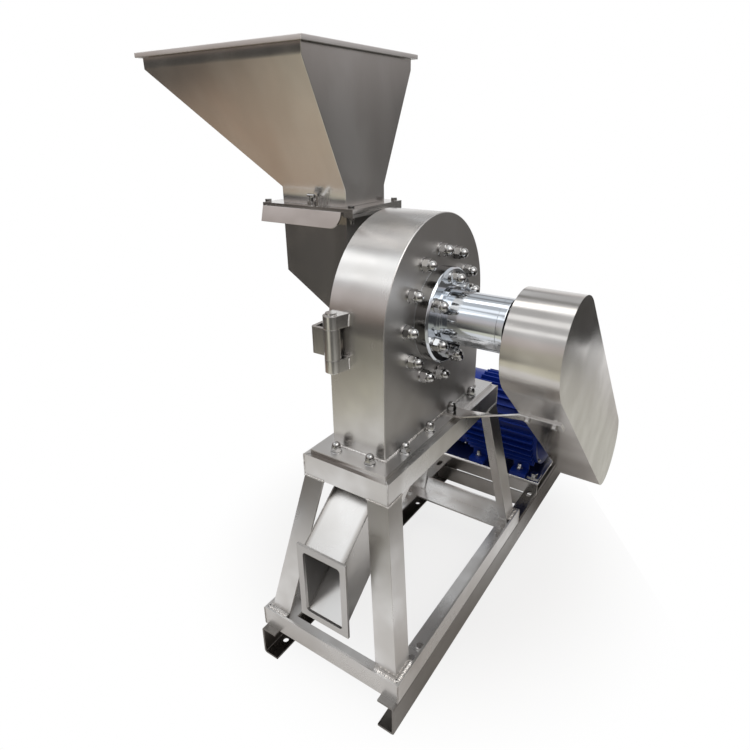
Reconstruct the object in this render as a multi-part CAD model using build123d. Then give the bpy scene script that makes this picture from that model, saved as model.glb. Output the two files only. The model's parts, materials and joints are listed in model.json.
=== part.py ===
from build123d import *
import os
from math import acos, atan2, copysign, cos, degrees, hypot, pi, radians, sin, sqrt, tan

# Universal grinding mill on a welded stand, in millimetres, +Z up.
# The origin lies on the floor below the main shaft, midway between the skids.
# +X runs along the main shaft towards its pulley, +Y runs back to the motor.

# Stand
ANGLE = 50.0               # leg of the angle steel
ANGLE_WALL = 5.0
SKID_HEIGHT = 76.0
SKID_FLANGE = 40.0
SKID_WALL = 5.0
SKID_BEND = 7.0            # outside radius of the folded skid
SKID_HALF_WIDTH = 180.0    # middle of the machine to the outer face of a skid
SKID_FRONT = -358.0
SKID_REAR = 745.0
STAND_HEIGHT = 514.0
BASE_FRONT = SKID_FRONT + 14.0
REAR_SPREAD = 42.0         # rear feet of the stand beyond its top frame
ANCHOR_R = 7.0
ANCHOR_X = SKID_HALF_WIDTH - 22.0
ANCHOR_Y = 310.0
REAR_ANCHOR_Y = SKID_REAR - 55.0
STAND_BOLT_X = SKID_HALF_WIDTH - 27.0

# Grinding chamber
HOUSING_R = 208.0
HOUSING_HALF = 64.0        # half length along the shaft
HOUSING_WALL = 6.0
BACK_PLATE = 10.0
DOOR_SIDE_PLATE = 8.0
BASE_FLANGE = 10.0
BASE_FLANGE_HALF_X = HOUSING_HALF + 29.0
BASE_FLANGE_HALF_Y = HOUSING_R + 42.0
FLANGE_TOP = STAND_HEIGHT + BASE_FLANGE
AXIS_Z = FLANGE_TOP + 253.0    # height of the main shaft
BASE_NUT_X = HOUSING_HALF + 14.0
BASE_NUT_PITCH = 103.0
BASE_NUT_Y = HOUSING_R + 21.0
BASE_NUT_END_X = 42.0
TOP_HALF_WIDTH = BASE_FLANGE_HALF_X + 11.5
TOP_HALF_DEPTH = BASE_FLANGE_HALF_Y + 10.0
BASE_REAR = TOP_HALF_DEPTH + REAR_SPREAD
STAND_BOLT_Y = (BASE_FRONT + 97.0, BASE_FRONT + 133.0, BASE_REAR - 83.0, BASE_REAR - 47.0)
BASE_TOP = SKID_HEIGHT + ANGLE_WALL
HOUSING_BACK = HOUSING_HALF - BACK_PLATE
DOOR_OPENING_R = HOUSING_R - 50.0
SCREEN_R = DOOR_OPENING_R - 8.0
SCREEN_T = 2.0
LINER_R = SCREEN_R - SCREEN_T - 1.0
LINER_BORE_R = 62.0
LINER_T = 10.0
LINER_NUT_R = LINER_R - 11.5
LINER_NUTS = 12

# Cap nuts and studs
STUD_R = 6.0
STUD_GAP = 0.4             # stud to the side of its hole
NUT_FLATS = 19.0
BIG_STUD_R = 8.0           # studs of the back liner and the bearing flange
BIG_NUT_FLATS = 24.0
NUT_HEIGHT = 10.0          # these three grow with the stud
NUT_DOME_R = 8.0
NUT_CAP_HEIGHT = 5.0       # straight part of the cap below its dome
WASHER_RIM = 2.5           # washer beyond the nut's flats
WASHER_R = NUT_FLATS / 2 + WASHER_RIM
WASHER_T = 2.5
SMALL_FLATS = 13.0         # heads and nuts of the thin bolts
SMALL_HEAD = 6.0

# Bearing cartridge and main shaft
FIT = 0.05                 # radial play of turned parts that sit or run in each other
CARTRIDGE_FLANGE_R = 101.0
CARTRIDGE_FLANGE = 29.0
CARTRIDGE_FACE = HOUSING_HALF + CARTRIDGE_FLANGE
CARTRIDGE_NUT_R = CARTRIDGE_FLANGE_R - 20.0
CARTRIDGE_NUTS = 6
CARTRIDGE_COLLAR_R = 62.0
CARTRIDGE_R = 56.0
CARTRIDGE_END = CARTRIDGE_FACE + 121.0
SPIGOT_R = 48.0
COVER_T = 16.0
COVER_LIP = 3.0
SHAFT_R = 20.0             # bearing seats
SHAFT_SHOULDER_R = 24.0
ROTOR_SEAT_R = 17.0
PULLEY_SEAT_R = 18.0
THREAD_R = 12.0
BEARING_R = 45.0
BEARING_W = 23.0
BEARING_X = HOUSING_HALF + 12.0    # inner face of the chamber-side bearing
BEARING_END = CARTRIDGE_END - COVER_LIP
BEARING_SHIELD = 1.5
RACE_T = 6.5
SEAL_R = 30.0
SEAL_GAP = 0.4
SEAL_W = 9.0

# Door
DOOR_R = HOUSING_R - 26.0
DOOR_T = 12.0
DOOR_SEAL = 3.0
DOOR_SEAL_IN_R = DOOR_OPENING_R + 2.0
DOOR_SEAL_OUT_R = DOOR_R - 4.0
DOOR_IN = -HOUSING_HALF - DOOR_SEAL
DOOR_FACE = DOOR_IN - DOOR_T
HINGE_X = 26.0 - HOUSING_HALF
HINGE_Y = -HOUSING_R - 23.0
HINGE_R = 16.0
HINGE_MID_Z = AXIS_Z - 14.0
HINGE_LEAF_H = 62.0
HINGE_LUG_H = 26.0
HINGE_PLAY = 0.4
HINGE_PIN_R = 8.0
LEAF_T = 8.0
LEAF_END_Y = HINGE_Y + 126.0
CLAMP_Y = HOUSING_R + 25.0
CLAMP_DZ = 95.0
CLAMP_EAR = 18.0
CLAMP_BOSS_R = 16.0
CLAMP_BOSS_L = 30.0
CLAMP_BOSS_END = 6.0       # solid end of the boss
CLAMP_GAP = 2.0            # stud to the mouth of its boss, so the door swings clear
KNOB_R = 21.0
KNOB_LOBES = 6
KNOB_LOBE_R = 7.0
KNOB_T = 24.0
KNOB_HUB = 6.0

# Rotor and stator teeth
ROTOR_R = LINER_R - 19.0
ROTOR_T = 16.0
ROTOR_GAP = 24.0           # rotor disc to the back liner
ROTOR_HUB_R = 34.0
ROTOR_HUB_FRONT = 10.0
ROTOR_SEAT_END = HOUSING_BACK - LINER_T
ROTOR_BACK = ROTOR_SEAT_END - ROTOR_GAP
ROTOR_FACE = ROTOR_BACK - ROTOR_T
ROTOR_HUB_FACE = ROTOR_FACE - ROTOR_HUB_FRONT
TOOTH = 9.0
TOOTH_END_GAP = 9.0        # short enough teeth for the door to swing clear of the rotor
TOOTH_ROW = 15.5           # from one row to the next, rotor and stator in turn
OUTER_ROW = ROTOR_R - 8.0
ROTOR_ROWS = ((OUTER_ROW, 12), (OUTER_ROW - 2 * TOOTH_ROW, 10), (OUTER_ROW - 4 * TOOTH_ROW, 8))
STATOR_ROWS = ((OUTER_ROW - TOOTH_ROW, 16), (OUTER_ROW - 3 * TOOTH_ROW, 12))
STATOR_R = ROTOR_R + 12.0
STATOR_BORE_R = 50.0
STATOR_T = 26.0
STATOR_TURN = 7.5          # stator teeth stand turned against the rotor teeth, in degrees
STATOR_FACE = DOOR_IN + STATOR_T
NUT36 = 36.0               # lock nuts on the shaft ends
NUT36_T = 15.0
KEY_W = 10.0
KEY_H = 8.0

# Feed chute, slide gate and hopper
SHEET = 3.0
NECK_WIDTH = 172.0
NECK_RIGHT = DOOR_FACE - 39.0
NECK_LEFT = NECK_RIGHT - NECK_WIDTH
NECK_HALF_Y = 70.0
CHUTE_HALF_Y = NECK_HALF_Y + 4.0
CHUTE_LEFT = NECK_LEFT + 3.0
CHUTE_RIGHT = NECK_RIGHT + 3.0
CHUTE_LEFT_Z = AXIS_Z + 64.0
CHUTE_BEND_Z = AXIS_Z + 128.0
CHUTE_MOUTH_LOW = AXIS_Z - 67.0
CHUTE_MOUTH_HIGH = AXIS_Z + 91.0
CHUTE_FLANGE_Z = AXIS_Z + 196.5
FLANGE_T = 6.0
FEED_FLANGE_LEFT = NECK_LEFT - 42.0
FEED_FLANGE_RIGHT = DOOR_FACE - 7.0
FEED_FLANGE_HALF_Y = NECK_HALF_Y + 21.0
GATE_T = 4.0
GATE_PLAY = 0.3
GATE_RIGHT_GUIDE = 26.0
GATE_LEFT_GUIDE = 12.0
GATE_REAR_GUIDE = 12.0
GATE_LIP_H = 34.0
GATE_LIP_LEAN = 15.0       # the lip's lower edge stands out to the front
GATE_BOLT_R = 4.0
GUIDE_Z = CHUTE_FLANGE_Z + FLANGE_T
HOPPER_FLANGE_Z = GUIDE_Z + GATE_T + 2 * GATE_PLAY
HOPPER_FLANGE_TOP = HOPPER_FLANGE_Z + FLANGE_T
GATE_SCREW_X = NECK_LEFT + 90.0
GATE_SCREW_Y = -NECK_HALF_Y - 11.0
GATE_SCREW_TOP = HOPPER_FLANGE_TOP + 20.0
GATE_SCREW_BAR = 9.5       # half length of the cross bar
HOPPER_NECK_TOP = HOPPER_FLANGE_TOP + 33.0
HOPPER_FOLD_Z = HOPPER_NECK_TOP + 234.0
HOPPER_TOP = HOPPER_FOLD_Z + 31.0
HOPPER_LEFT = NECK_LEFT - 265.0
HOPPER_HALF_Y = NECK_HALF_Y + 110.5
RIM_OUT = 11.0
RIM_DOWN = 9.5

# Discharge
DUCT_HALF_X = HOUSING_HALF - 14.0
DUCT_FRONT = BASE_FRONT + 5.0
DUCT_HIGH = STAND_HEIGHT - 162.0
DUCT_LOW = DUCT_HIGH - 162.0
DUCT_SLOPE = 38.0
OUTLET_T = 6.0
OUTLET_BORDER = 12.0
OUTLET_CORNER = 8.0        # round in the corners of the opening

# Belt drive
PULLEY_X = CARTRIDGE_END + COVER_T + 20.0
GROOVES = 3
GROOVE_PITCH = 19.0
GROOVE_EDGE = 11.5
GROOVE_HALF = 8.3
GROOVE_DEPTH = 14.0
GROOVE_ANGLE = 18.0        # half angle of the groove
PULLEY_W = 2 * GROOVE_EDGE + (GROOVES - 1) * GROOVE_PITCH
BELT_GAP = 0.35
BELT_PROUD = 1.0
BELT_H = 11.0
SHAFT_PULLEY_R = 50.0
MOTOR_PULLEY_R = 64.0
PULLEY_HUB_R = 30.0

# Motor
MOTOR_Y = 588.0
MOTOR_H = 132.0            # shaft above the motor plate
MOTOR_PLATE_TOP = SKID_HEIGHT + 45.0
MOTOR_Z = MOTOR_PLATE_TOP + MOTOR_H
MOTOR_SHOULDER = PULLEY_X - 49.0
MOTOR_FOOT_X = (MOTOR_SHOULDER - 229.0, MOTOR_SHOULDER - 89.0)
MOTOR_FOOT_HALF_Y = 108.0
MOTOR_FOOT_HALF_X = 25.0
MOTOR_FOOT_T = 14.0
MOTOR_FOOT_IN = 22.0       # foot from its bolt towards the motor
MOTOR_FOOT_OUT = 20.0
MOTOR_FOOT_WEB = 8.0
MOTOR_PLATE_T = 6.0
MOTOR_PLATE_FRONT = MOTOR_Y - 133.0
MOTOR_PLATE_REAR = MOTOR_Y + 133.0
MOTOR_SLOT_LENGTH = 100.0
MOTOR_CLAMP_Y = (MOTOR_Y - 98.0, MOTOR_Y + 98.0)
MOTOR_BODY_R = 118.0
MOTOR_BORE_R = 105.0
MOTOR_FIN_R = 137.0
MOTOR_FIN_T = 3.5
MOTOR_FINS = 36
MOTOR_FRAME_START = MOTOR_SHOULDER - 271.0
MOTOR_FRAME_END = MOTOR_SHOULDER - 51.0
MOTOR_SHAFT_R = 19.0
MOTOR_TAIL_R = 15.0        # shaft behind the rotor
MOTOR_SHAFT_END = MOTOR_SHOULDER + 80.0
MOTOR_TAIL = MOTOR_FRAME_START - 124.0
MOTOR_ROTOR_R = 71.0
MOTOR_AIR_GAP = 0.8
FAN_R = 105.0
FAN_HUB_R = 30.0
FAN_HALF = 16.0            # half length of the fan's hub
FAN_BLADES = 8
FAN_BLADE_T = 3.0
COVER_R = 129.0
COVER_WALL = 2.5
COVER_ROUND = 16.0
COVER_SLOTS = 12
COVER_SLOT_W = 12.0
TERMINAL_X = (MOTOR_SHOULDER - 169.0, MOTOR_SHOULDER - 73.0)
TERMINAL_HALF_Y = 46.0
TERMINAL_BASE = MOTOR_BODY_R + 4.0     # box foot above the motor axis
TERMINAL_H = 48.0
TERMINAL_WALL = 4.0
TERMINAL_LID = 8.0
GLAND_R = 10.0
GLAND_BORE_R = 6.0

# Belt guard
GUARD_IN = PULLEY_X - 15.5
GUARD_OUT = PULLEY_X + PULLEY_W + 39.5
GUARD_WALL = 2.5
GUARD_TOP_Y = 34.0         # the top arc bends round a point behind and below the shaft
GUARD_TOP_Z = AXIS_Z - 38.0
GUARD_TOP_R = SHAFT_PULLEY_R + 60.5
GUARD_LOW_Y = MOTOR_Y - 24.0
GUARD_LOW_Z = MOTOR_Z - 12.5
GUARD_LOW_R = MOTOR_PULLEY_R + 42.0
GUARD_FRONT_ANGLE = -132.0     # where the lower arc ends in the sharp front corner
STRAP_W = 40.0
STRAP_T = 4.0
STRAP_TAIL = 12.0          # strap beyond its stud
STRAP_FLAT_END = BASE_FLANGE_HALF_X + 15.0
STRAP_GUARD_Z = FLANGE_TOP + 20.0
STRAP_BOLT_X = (GUARD_IN + 16.0, GUARD_IN + 76.0)
STRAP_END = GUARD_IN + 93.0
STRAP_BOLT_R = 4.0


def block(x0, x1, y0, y1, z0, z1):
    """Box between two corners."""
    return Pos((x0 + x1) / 2, (y0 + y1) / 2, (z0 + z1) / 2) * Box(x1 - x0, y1 - y0, z1 - z0)


def rod_x(radius, x0, x1, y=0.0, z=AXIS_Z):
    """Cylinder along X, on the main shaft unless placed elsewhere."""
    return Pos((x0 + x1) / 2, y, z) * Rot(0, 90, 0) * Cylinder(radius, x1 - x0)


def rod_z(radius, z0, z1, x, y):
    """Upright cylinder."""
    return Pos(x, y, (z0 + z1) / 2) * Cylinder(radius, z1 - z0)


def tube_x(outer, inner, x0, x1, y=0.0, z=AXIS_Z):
    """Ring along X."""
    return rod_x(outer, x0, x1, y, z) - rod_x(inner, x0 - 1, x1 + 1, y, z)


def cone_x(radius0, radius1, x0, x1, y=0.0, z=AXIS_Z):
    """Cone along X from the first radius to the second."""
    return Pos((x0 + x1) / 2, y, z) * Rot(0, 90, 0) * Cone(radius0, radius1, x1 - x0)


def rectangle(u0, u1, v0, v1):
    """Flat rectangle between two corners."""
    return Pos((u0 + u1) / 2, (v0 + v1) / 2) * Rectangle(u1 - u0, v1 - v0)


def polygon(points):
    """Flat polygon through points as given."""
    return make_face(Polyline(*points, close=True))


def extrude_x(outline, x0, x1):
    """Prism along X from an outline in Y and Z."""
    return extrude(Plane.YZ.offset(x0) * outline, x1 - x0)


def extrude_y(outline, y0, y1):
    """Prism along Y from an outline in X and Z."""
    return extrude(Plane.XZ.offset(-y1) * outline, y1 - y0)


def extrude_z(outline, z0, z1):
    """Upright prism from an outline in X and Y."""
    return extrude(Plane.XY.offset(z0) * outline, z1 - z0)


def inset(points, gaps):
    """Anticlockwise polygon with each side moved inwards by its own gap; a gap below zero moves it out."""
    sides = []
    for (p, q), gap in zip(zip(points, points[1:] + points[:1]), gaps):
        length = hypot(q[0] - p[0], q[1] - p[1])
        du = (q[0] - p[0]) / length
        dv = (q[1] - p[1]) / length
        sides.append((p[0] - dv * gap, p[1] + du * gap, du, dv))
    corners = []
    for (u0, v0, a0, b0), (u1, v1, a1, b1) in zip(sides[-1:] + sides[:-1], sides):
        step = ((u1 - u0) * b1 - (v1 - v0) * a1) / (a0 * b1 - b0 * a1)
        corners.append((u0 + a0 * step, v0 + b0 * step))
    return corners


def hexagon(flats, z0, z1):
    """Upright hexagonal prism on the Z axis."""
    return extrude_z(RegularPolygon(flats / 2, 6, major_radius=False), z0, z1)


def toward(x, y, z, direction):
    """Plane at a point whose Z axis runs along the direction."""
    return Plane(origin=(x, y, z), z_dir=direction)


def cap_nut(below, stud_r=STUD_R, flats=NUT_FLATS):
    """Washer, hexagon nut and domed cap above the zero plane, with a stud that reaches below it."""
    growth = stud_r / STUD_R
    dome_r = NUT_DOME_R * growth
    nut_top = WASHER_T + NUT_HEIGHT * growth
    cap_top = nut_top + NUT_CAP_HEIGHT * growth
    dome = Pos(0, 0, cap_top + dome_r / 3) * Cone(dome_r, dome_r / 2, dome_r / 1.5)
    cap = Pos(0, 0, (nut_top + cap_top) / 2) * Cylinder(dome_r, cap_top - nut_top)
    washer = Pos(0, 0, WASHER_T / 2) * Cylinder(flats / 2 + WASHER_RIM, WASHER_T)
    stud = Pos(0, 0, (WASHER_T - below) / 2) * Cylinder(stud_r, WASHER_T + below)
    return washer + hexagon(flats, WASHER_T, nut_top) + cap + dome + stud


def bolt(radius, grip, flats, thick, end):
    """Head above the zero plane, shank through the grip, nut below it and a free end of thread."""
    shank = Pos(0, 0, -(grip + thick + end) / 2) * Cylinder(radius, grip + thick + end)
    return hexagon(flats, 0, thick) + shank + hexagon(flats, -grip - thick, -grip)


def keyway(seat_r, x0, x1):
    """Groove along a hub's bore for the upper half of its key."""
    half = KEY_W / 2 + FIT
    return block(x0 - 1, x1 + 1, -half, half, AXIS_Z, AXIS_Z + seat_r + KEY_H / 2 + FIT)


def v_section(x, half_low, low, half_high, high):
    """Trapezium round a middle line, narrow below and wide above."""
    return polygon([(x - half_low, low), (x + half_low, low), (x + half_high, high), (x - half_high, high)])


def arch(radius, foot):
    """Upside-down U in Y and Z: a half circle round the shaft on straight sides."""
    return rectangle(-radius, radius, foot, AXIS_Z) + Pos(0, AXIS_Z) * Circle(radius)


def angle_frame(half_x, y0, y1, z0, corner_low):
    """Four mitred angle bars round a rectangle, uprights outside, with the corner below or above."""
    z1 = z0 + ANGLE
    ring = block(-half_x, half_x, y0, y1, z0, z1)
    low = z0 + ANGLE_WALL if corner_low else z0 - 1
    high = z1 + 1 if corner_low else z1 - ANGLE_WALL
    wall = ANGLE_WALL
    ring -= block(-half_x + wall, half_x - wall, y0 + wall, y1 - wall, low, high)
    ring -= block(-half_x + ANGLE, half_x - ANGLE, y0 + ANGLE, y1 - ANGLE, z0 - 1, z1 + 1)
    corner = [(-half_x, y0), (half_x, y0), (half_x, y1), (-half_x, y1)]
    inner = inset(corner, [ANGLE + 1] * 4)
    bars = []
    for i in range(4):
        j = (i + 1) % 4
        bars.append(ring & extrude_z(polygon([corner[i], corner[j], inner[j], inner[i]]), z0, z1))
    return bars


def leg(side, end):
    """Slanting angle leg from the inside of a base corner to the underside of the top frame."""
    foot_y = BASE_FRONT + ANGLE_WALL if end < 0 else BASE_REAR - ANGLE_WALL
    foot = Vector(side * (SKID_HALF_WIDTH - ANGLE_WALL), foot_y, BASE_TOP)
    head = Vector(side * TOP_HALF_WIDTH, end * TOP_HALF_DEPTH, STAND_HEIGHT - ANGLE)
    a = -side
    b = -end
    wall = ANGLE_WALL
    section = [(0, 0), (a * ANGLE, 0), (a * ANGLE, b * wall),
               (a * wall, b * wall), (a * wall, b * ANGLE), (0, b * ANGLE)]
    outline = Pos(foot.X, foot.Y, foot.Z) * polygon(section)
    slope = head - foot
    return extrude(outline, amount=slope.length, dir=slope.normalized())


def skid():
    """Folded channel on the +X side, open towards the middle."""
    web = SKID_HALF_WIDTH
    section = rectangle(web - SKID_FLANGE, web, 0, SKID_HEIGHT)
    section = fillet(section.vertices().group_by(Axis.X)[-1], SKID_BEND)
    hollow = rectangle(web - SKID_FLANGE - 1, web - SKID_WALL, SKID_WALL, SKID_HEIGHT - SKID_WALL)
    hollow = fillet(hollow.vertices().group_by(Axis.X)[-1], SKID_BEND - SKID_WALL)
    bar = extrude_y(section - hollow, SKID_FRONT, SKID_REAR)
    for y in (-ANCHOR_Y, ANCHOR_Y, REAR_ANCHOR_Y):
        bar -= rod_z(ANCHOR_R, -1, SKID_WALL + 1, ANCHOR_X, y)
    for y in STAND_BOLT_Y:
        bar -= rod_z(GATE_BOLT_R + STUD_GAP, SKID_HEIGHT - SKID_WALL - 1, SKID_HEIGHT + 1, STAND_BOLT_X, y)
    slot = SlotOverall(MOTOR_SLOT_LENGTH, 2 * ANCHOR_R, rotation=90)
    for y in MOTOR_CLAMP_Y:
        bar -= extrude_z(Pos(ANCHOR_X, y) * slot, SKID_HEIGHT - SKID_WALL - 1, SKID_HEIGHT + 1)
    return bar


nodes = {}

# Stand
nodes["skid_right"] = [skid()]
nodes["skid_left"] = [mirror(nodes["skid_right"][0], Plane.YZ)]
ties = []
for tie_y in (MOTOR_PLATE_FRONT + 20.0, SKID_REAR - 60.0):
    inner_x = SKID_HALF_WIDTH - SKID_BEND
    tie = block(-inner_x, inner_x, tie_y, tie_y + ANGLE, SKID_WALL, SKID_WALL + ANGLE)
    tie -= block(-inner_x, inner_x, tie_y + ANGLE_WALL, tie_y + ANGLE + 1,
                 SKID_WALL + ANGLE_WALL, SKID_HEIGHT)
    for side in (-1, 1):
        tie -= rod_z(WASHER_R + 2, SKID_WALL - 1, SKID_HEIGHT, side * ANCHOR_X, REAR_ANCHOR_Y)
    ties.append(tie)
nodes["skid_ties"] = ties
base = angle_frame(SKID_HALF_WIDTH, BASE_FRONT, BASE_REAR, SKID_HEIGHT, True)
top = angle_frame(TOP_HALF_WIDTH, -TOP_HALF_DEPTH, TOP_HALF_DEPTH, STAND_HEIGHT - ANGLE, False)
stand_bolts = []
stand_bolt = bolt(GATE_BOLT_R, ANGLE_WALL + SKID_WALL, 16.0, 6.5, 4.0)
for side in (-1, 1):
    for y in STAND_BOLT_Y:
        hole = rod_z(GATE_BOLT_R + STUD_GAP, SKID_HEIGHT - 1, BASE_TOP + 1, side * STAND_BOLT_X, y)
        base[1 if side > 0 else 3] -= hole
        stand_bolts.append(Pos(side * STAND_BOLT_X, y, BASE_TOP) * stand_bolt)
nodes["base_frame"] = base
nodes["stand_bolts"] = stand_bolts
nodes["stand_legs"] = [leg(side, end) for side in (-1, 1) for end in (-1, 1)]

# Housing shell with its base flange and door clamp bosses
duct_rise = tan(radians(DUCT_SLOPE))
duct_top_y = DUCT_FRONT + (STAND_HEIGHT - DUCT_HIGH) / duct_rise
duct_back_y = DUCT_FRONT + (STAND_HEIGHT - DUCT_LOW) / duct_rise
duct_points = [(DUCT_FRONT, DUCT_HIGH), (DUCT_FRONT, DUCT_LOW),
               (duct_back_y, STAND_HEIGHT), (duct_top_y, STAND_HEIGHT)]
shell = extrude_x(arch(HOUSING_R, STAND_HEIGHT + BASE_FLANGE / 2), -HOUSING_HALF, HOUSING_BACK)
shell_inside = arch(HOUSING_R - HOUSING_WALL, STAND_HEIGHT - 1)
shell -= extrude_x(shell_inside, DOOR_SIDE_PLATE - HOUSING_HALF, HOUSING_BACK + 1)
shell -= rod_x(DOOR_OPENING_R, -HOUSING_HALF - 1, DOOR_SIDE_PLATE - HOUSING_HALF + 1)
flange_y = BASE_FLANGE_HALF_Y
shell += block(-BASE_FLANGE_HALF_X, BASE_FLANGE_HALF_X, -flange_y, flange_y, STAND_HEIGHT, FLANGE_TOP)
duct_in_x = DUCT_HALF_X - SHEET
duct_in_gap = SHEET / sin(radians(DUCT_SLOPE))
duct_in_y0 = duct_top_y + duct_in_gap
duct_in_y1 = duct_back_y - duct_in_gap
shell -= block(-duct_in_x, duct_in_x, duct_in_y0, duct_in_y1, STAND_HEIGHT - 1, FLANGE_TOP + 1)
boss_x1 = CLAMP_BOSS_L - HOUSING_HALF
for dz in (-CLAMP_DZ, CLAMP_DZ):
    z = AXIS_Z + dz
    boss = rod_x(CLAMP_BOSS_R, -HOUSING_HALF, boss_x1, CLAMP_Y, z)
    wall_y = HOUSING_R if dz < 0 else (HOUSING_R ** 2 - (dz + CLAMP_BOSS_R) ** 2) ** 0.5
    boss += block(-HOUSING_HALF, boss_x1, wall_y - 4, CLAMP_Y, z - CLAMP_BOSS_R, z + CLAMP_BOSS_R)
    boss -= extrude_x(arch(HOUSING_R - HOUSING_WALL / 2, FLANGE_TOP), -HOUSING_HALF - 1, HOUSING_HALF)
    shell += boss
    shell -= rod_x(STUD_R + CLAMP_GAP, -HOUSING_HALF - 1, boss_x1 - CLAMP_BOSS_END, CLAMP_Y, z)
base_nuts = []
nut_places = [(side * BASE_NUT_X, BASE_NUT_PITCH * n) for side in (-1, 1) for n in (-1.5, -0.5, 0.5, 1.5)]
nut_places += [(side * BASE_NUT_END_X, end * BASE_NUT_Y) for side in (-1, 1) for end in (-1, 1)]
strap_place = (BASE_NUT_X, BASE_NUT_PITCH / 2)
grip = BASE_FLANGE + ANGLE_WALL
for x, y in nut_places:
    shell -= rod_z(STUD_R + STUD_GAP, STAND_HEIGHT - 1, FLANGE_TOP + 1, x, y)
    hole = rod_z(STUD_R + STUD_GAP, STAND_HEIGHT - ANGLE_WALL - 1, STAND_HEIGHT + 1, x, y)
    bar = (3 if x < 0 else 1) if abs(y) < BASE_NUT_Y else (0 if y < 0 else 2)
    top[bar] -= hole
    lift = STRAP_T if (x, y) == strap_place else 0.0
    stack = cap_nut(grip + lift + 7.5) + hexagon(NUT_FLATS, -grip - lift - 7.5, -grip - lift)
    base_nuts.append(Pos(x, y, FLANGE_TOP + lift) * stack)
nodes["top_frame"] = top
nodes["housing_shell"] = [shell]
nodes["base_cap_nuts"] = base_nuts

# Back plate with its liner, screen and cap nuts
back = extrude_x(arch(HOUSING_R, FLANGE_TOP), HOUSING_BACK, HOUSING_HALF)
back = chamfer(back.faces().sort_by(Axis.X)[-1].outer_wire().edges().filter_by(GeomType.CIRCLE), 1.5)
back -= rod_x(SPIGOT_R + FIT, HOUSING_BACK - 1, HOUSING_HALF + 1)
liner_nuts = []
for i in range(LINER_NUTS):
    a = radians(360.0 / LINER_NUTS * i)
    y = LINER_NUT_R * cos(a)
    z = AXIS_Z + LINER_NUT_R * sin(a)
    back -= rod_x(BIG_STUD_R + STUD_GAP, HOUSING_BACK - 1, HOUSING_HALF + 1, y, z)
    nut = cap_nut(BACK_PLATE, BIG_STUD_R, BIG_NUT_FLATS)
    liner_nuts.append(toward(HOUSING_HALF, y, z, (1, 0, 0)) * nut)
flange_nuts = []
cartridge_studs = []
for i in range(CARTRIDGE_NUTS):
    a = radians(30 + 360.0 / CARTRIDGE_NUTS * i)
    y = CARTRIDGE_NUT_R * cos(a)
    z = AXIS_Z + CARTRIDGE_NUT_R * sin(a)
    cartridge_studs.append((y, z))
    back -= rod_x(BIG_STUD_R + STUD_GAP, HOUSING_HALF - 7, HOUSING_HALF + 1, y, z)
    nut = cap_nut(CARTRIDGE_FLANGE + 7, BIG_STUD_R, BIG_NUT_FLATS)
    flange_nuts.append(toward(CARTRIDGE_FACE, y, z, (1, 0, 0)) * nut)
nodes["back_plate"] = [back]
nodes["liner_cap_nuts"] = liner_nuts
nodes["back_liner"] = [tube_x(LINER_R, LINER_BORE_R, HOUSING_BACK - LINER_T, HOUSING_BACK)]
nodes["screen_ring"] = [tube_x(SCREEN_R, SCREEN_R - SCREEN_T, DOOR_IN + 0.5, HOUSING_BACK)]

# Bearing cartridge
flange = rod_x(CARTRIDGE_FLANGE_R, HOUSING_HALF, CARTRIDGE_FACE)
flange = chamfer(flange.edges().sort_by(Axis.X)[-1:], 4.0)
cartridge = flange + rod_x(CARTRIDGE_COLLAR_R, CARTRIDGE_FACE, CARTRIDGE_FACE + 7)
cartridge += rod_x(CARTRIDGE_R, CARTRIDGE_FACE, CARTRIDGE_END)
cartridge += rod_x(SPIGOT_R, HOUSING_BACK, HOUSING_HALF + 1)
cartridge -= rod_x(BEARING_R + FIT, BEARING_X, CARTRIDGE_END + 1)
cartridge -= rod_x(SEAL_R + FIT, BEARING_X - SEAL_W - 1, BEARING_X + 1)
cartridge -= rod_x(SHAFT_SHOULDER_R, HOUSING_BACK - 1, BEARING_X)
for y, z in cartridge_studs:
    cartridge -= rod_x(BIG_STUD_R + STUD_GAP, HOUSING_HALF - 1, CARTRIDGE_FACE + 1, y, z)
nodes["bearing_housing"] = [cartridge]
nodes["bearing_flange_nuts"] = flange_nuts
cover = rod_x(CARTRIDGE_R, CARTRIDGE_END, CARTRIDGE_END + COVER_T)
cover = chamfer(cover.edges().sort_by(Axis.X)[-1:], 2.0)
cover += rod_x(BEARING_R - FIT, BEARING_END, CARTRIDGE_END + 1)
cover -= rod_x(SHAFT_R + SEAL_GAP, BEARING_END - 1, CARTRIDGE_END + COVER_T + 1)
cover -= rod_x(BEARING_R - RACE_T, BEARING_END - 1, BEARING_END + 2)
nodes["bearing_cover"] = [cover]
nodes["shaft_seal"] = [tube_x(SEAL_R, SHAFT_R + SEAL_GAP, BEARING_X - SEAL_W - 1, BEARING_X - 1)]
bearing_starts = (BEARING_X, BEARING_END - BEARING_W)
outer_rings = []
inner_rings = []
for x0 in bearing_starts:
    ring = tube_x(BEARING_R, SHAFT_R + RACE_T + SEAL_GAP, x0, x0 + BEARING_W)
    ring -= rod_x(BEARING_R - RACE_T, x0 + BEARING_SHIELD, x0 + BEARING_W - BEARING_SHIELD)
    outer_rings.append(ring)
    inner_rings.append(tube_x(SHAFT_R + RACE_T, SHAFT_R + FIT, x0, x0 + BEARING_W))
nodes["bearing_outer_rings"] = outer_rings
nodes["bearing_inner_rings"] = inner_rings

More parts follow.
